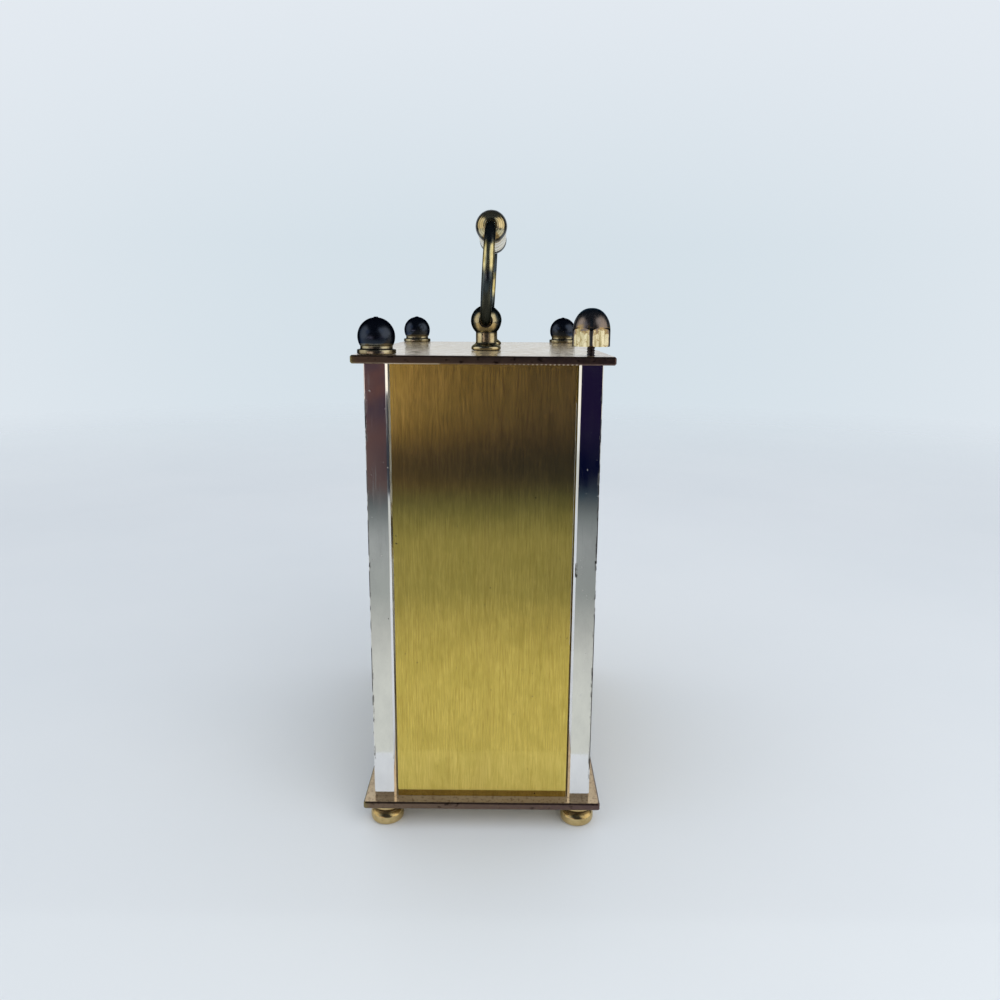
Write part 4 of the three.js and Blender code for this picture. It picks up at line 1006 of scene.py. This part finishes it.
def cover_mouldings():
    """A rim, a guard round the knob with arrows for both ways of turning, a bare field and finger ribs"""
    low, high = box_mm("movement_cover")
    guard = (KNOB_HIGH.x - KNOB_LOW.x) / 2 + 1.0
    shapes = [
        [round_box(low.x + inset, low.z + inset, high.x - inset, high.z - inset, radius)
         for inset, radius in ((1.2, 2.0), (2.1, 1.3))],
        [circle(KNOB_X, KNOB_Z, guard + width) for width in (0.8, 0)],
        *[[arc_arrow(KNOB_X, KNOB_Z, guard + 2.4, start, end, 1.6)] for start, end in ((98, 142), (82, 38))],
        [round_box(-22, 45, -3, 60, 1.5), round_box(-21.3, 45.7, -3.7, 59.3, 0.9)],
        *[[round_box(-8, z_rib, 8, z_rib + 0.8, 0.35)] for z_rib in (65.2, 67.2, 69.2)],
    ]
    embossed("movement_cover_mouldings", "movement_cover", "black_plastic", shapes, high.y - 0.1, high.y + 0.45)


def dish_knob(piece):
    """Hollows the knob's face, and gives it an arrow that shows which way it turns"""
    face, inner, outer, depth = KNOB_HIGH.y, 4.9, 5.4, 0.9
    dish = turned([(0, 0), (inner, 0), (outer, depth), (outer, 2), (0, 2)], (KNOB_X, face - depth, KNOB_Z), 64, "Y")
    carve(piece, dish)
    keep_flats(piece)
    embossed("set_knob_arrow", "set_knob", "black_plastic", [[arc_arrow(KNOB_X, KNOB_Z, 3.2, 60, 320, 1.5)]],
             face - 1.0, face - 0.5, 0.06)


def battery(node):
    """A dry cell: crimped ends, a nub, and a sleeve round the can"""
    low, high = box_mm(node)
    middle = (low + high) / 2
    end, r = (high.x - low.x) / 2, (high.z - low.z) / 2
    shoulder = end - 1.5
    profile = [
        (0, -end + 0.25), (3.4, -end + 0.25), (3.7, -end), (5.6, -end), (5.9, -end + 0.3), (6.4, -end + 0.3),
        (r - 0.25, -end + 0.12), (r, -end + 0.6), (r, -end + 1.1), (r - 0.05, -end + 1.25), (r - 0.05, shoulder - 1.1),
        (r, shoulder - 0.95), (r, shoulder - 0.5), (r - 0.3, shoulder), (6.2, shoulder - 0.02), (5.9, shoulder - 0.5),
        (4.0, shoulder - 0.35), (3.2, shoulder), (2.75, shoulder + 0.25), (2.75, end - 0.3), (2.5, end), (0, end),
    ]
    mesh = turned(rounded(profile, 0.2), (middle.x, middle.y, middle.z), 72, "X")
    stand_in(node, mesh, ("battery_sleeve", "steel"))
    for face in mesh.polygons:
        c = face.center / MM
        if hypot(c.y - middle.y, c.z - middle.z) < r - 0.45 or c.x > middle.x + shoulder - 0.1:
            face.material_index = 1


battery("battery")
cover_mouldings()
dish_knob(dressed("set_knob", "black_plastic", 0.1))


# Stage: floor, backdrop, light, and dark cards that only the bright metal sees
def stage_plane(name, x_low, x_high, y_low, y_high, z_low, z_high, material, glossy_only=True):
    """A flat stage piece. It stands on edge where z_high is above z_low, and lies otherwise."""
    mesh = bpy.data.meshes.new(name)
    corners = ([(x_low, y_low, z_low), (x_low, y_high, z_low), (x_low, y_high, z_high), (x_low, y_low, z_high)]
               if z_high > z_low else
               [(x_low, y_low, z_low), (x_high, y_low, z_low), (x_high, y_high, z_low), (x_low, y_high, z_low)])
    mesh.from_pydata([Vector(c) * MM for c in corners], [], [(0, 1, 2, 3)])
    mesh.materials.append(material)
    plane = linked(name, mesh)
    if glossy_only:
        plane.visible_camera = plane.visible_diffuse = plane.visible_shadow = plane.visible_transmission = False


def floor_material():
    """Pale cloth with a fine weave that fades into the backdrop, and is clear from below"""
    look = Look("floor_cloth", IOR=1.4)
    weave = look.noise((900, 1300, 900), 3)
    fade = look.length(look.x, look.y).span(0.28, 0.75)
    below = look.output("NewGeometry", "Backfacing")
    look.let_through(fade.most(below))
    look.surface(
        look.noise(9, 3).span(0.3, 0.7).blend((0.74, 0.775, 0.80), (0.77, 0.80, 0.82)),
        weave.span(0.2, 0.8, 0.7, 0.9),
        weave, 0.03, 0.15)
    return look.material


def glow(name, colour_of):
    """A card's material: light of its own, so that it takes none from the room"""
    look = Look(name)
    look.tree.nodes.remove(look.shader)
    look.show(look.node("Emission", colour_of(look)))
    return look.material


def front_card_colour(look):
    """Near black at the foot; above it purple brown to the left, blue black to the right, paler far out"""
    cloud = look.noise((26, 34, 70), 3, 0.6).span(0.42, 0.58)
    left = cloud.blend((0.115, 0.056, 0.048), (0.05, 0.035, 0.05))
    colour = look.y.ramp(-15, -60).blend((0.010, 0.006, 0.028), left)
    outside = look.y.ramp(-50, 150).blend((1.42, 1.17, 1.14), (0.54, 0.44, 0.53))
    beyond = look.y.ramp(-80, -130).most(look.y.ramp(130, 260))
    low = look.y.ramp(-32, -80).blend((0.0015, 0.0025, 0.018), (0.125, 0.08, 0.074))
    low = beyond.blend(low, (0.012, 0.014, 0.025))
    return look.z.ramp(13, 33).blend(low, beyond.blend(colour, outside))


def floor_card_colour(look):
    """The table's near end: pale, then grey, then dark, with a shadow to the right"""
    side = look.y.ramp(-40, 40)
    slate = side.blend((0.10, 0.085, 0.085), (0.02, 0.045, 0.065))
    dark = side.blend((0.11, 0.07, 0.062), (0.0015, 0.0025, 0.018))
    colour = (0.62, 0.65, 0.61)
    for start, end, next_colour in ((96, 128, (0.50, 0.52, 0.49)), (128, 165, (0.35, 0.38, 0.365)),
                                    (165, 228, (0.35, 0.377, 0.375)), (228, 275, (0.18, 0.205, 0.205)),
                                    (275, 305, (0.095, 0.11, 0.115)), (305, 330, slate), (330, 343, dark)):
        colour = look.x.ramp(start, end).blend(colour, next_colour)
    shadow = look.x.ramp(115, 165, 0, 0.4) * look.x.ramp(270, 190, 0.3, 1)
    return (shadow * look.y.ramp(0, 55)).blend(colour, (0.02, 0.035, 0.05))


def side_card_colour(look):
    """A dark thing on the table to the right, which the left post's inner corner shows"""
    dark = look.noise(60).span(0.3, 0.7).blend((0.03, 0.035, 0.05), (0.05, 0.055, 0.06))
    return look.y.between(275, 840, 10).blend((0.5, 0.53, 0.55), dark)


FLOOR_REACH, CARD_X, CARD_REACH = 900, 360, 420
stage_plane("floor", -FLOOR_REACH, FLOOR_REACH, -FLOOR_REACH, FLOOR_REACH, 0, 0, floor_material(), False)
stage_plane("card_upright", CARD_X, CARD_X, -CARD_REACH, CARD_REACH, 0, 78, glow("card_upright", front_card_colour))
stage_plane("card_flat", 60, CARD_X, -CARD_REACH, CARD_REACH, 0.5, 0.5, glow("card_flat", floor_card_colour))
stage_plane("card_side", 30, 230, 255, 870, 0.6, 0.6, glow("card_side", side_card_colour))

# What bright metal sees of the room: direction, half angles of the soft edge in degrees, and colour
REFLECTED = (
    ((-1.0, 0.0, 0.05), 42, 34, (0.70, 0.75, 0.80)),
    ((0.16, -0.955, 0.24), 38, 25, (1.0, 0.97, 0.86)),
    ((0.27, 0.925, 0.26), 40, 26, (1.15, 1.08, 0.92)),
    ((0.562, 0.582, 0.588), 20, 8, (0.9, 0.92, 0.88)),
    ((0.587, -0.70, 0.407), 17, 7, (0.4, 0.46, 0.56)),
)


def make_world():
    """Pale bluish walls. Bright metal sees a dark room there instead, with lamps and the pale backdrop."""
    world = bpy.data.worlds.new("studio")
    bpy.context.scene.world = world
    world.use_nodes = True
    sky = Graph(world.node_tree, "Generated")
    wall = sky.toward((-1.0, 0.0, 0.02), 38, 4).blend((0.755, 0.81, 0.865), (0.66, 0.745, 0.805))
    wall = sky.z.span(0.08, 0.5).blend(wall, (0.82, 0.855, 0.91))
    room = sky.z.span(-0.3, 0.5).blend((0.05, 0.045, 0.045), (0.025, 0.032, 0.045))
    for direction, outer, inner, colour in REFLECTED:
        room = sky.toward(direction, outer, inner).blend(room, colour)
    glossy = sky.output("LightPath", "Is Glossy Ray")
    sky.feed(world.node_tree.nodes["Background"].inputs["Color"], glossy.blend(wall, room))


def soft_light(name, place, target, size, power, colour):
    data = bpy.data.lights.new(name, "AREA")
    data.shape = "SQUARE"
    data.size = size * MM
    data.energy = power
    data.color = colour
    lamp = linked(name, data)
    lamp.location = Vector(place) * MM
    lamp.rotation_mode = "QUATERNION"
    lamp.rotation_quaternion = (Vector(target) - Vector(place)).to_track_quat("-Z", "Y")
    lamp.visible_glossy = False


make_world()
soft_light("light_top", (60, 120, 900), (0, 0, 50), 700, 0.4, (1.0, 0.98, 0.95))
soft_light("light_side", (290, 190, 240), (100, 40, 0), 300, 0.42, (1.0, 0.96, 0.91))
bpy.context.scene.view_settings.view_transform = "Standard"
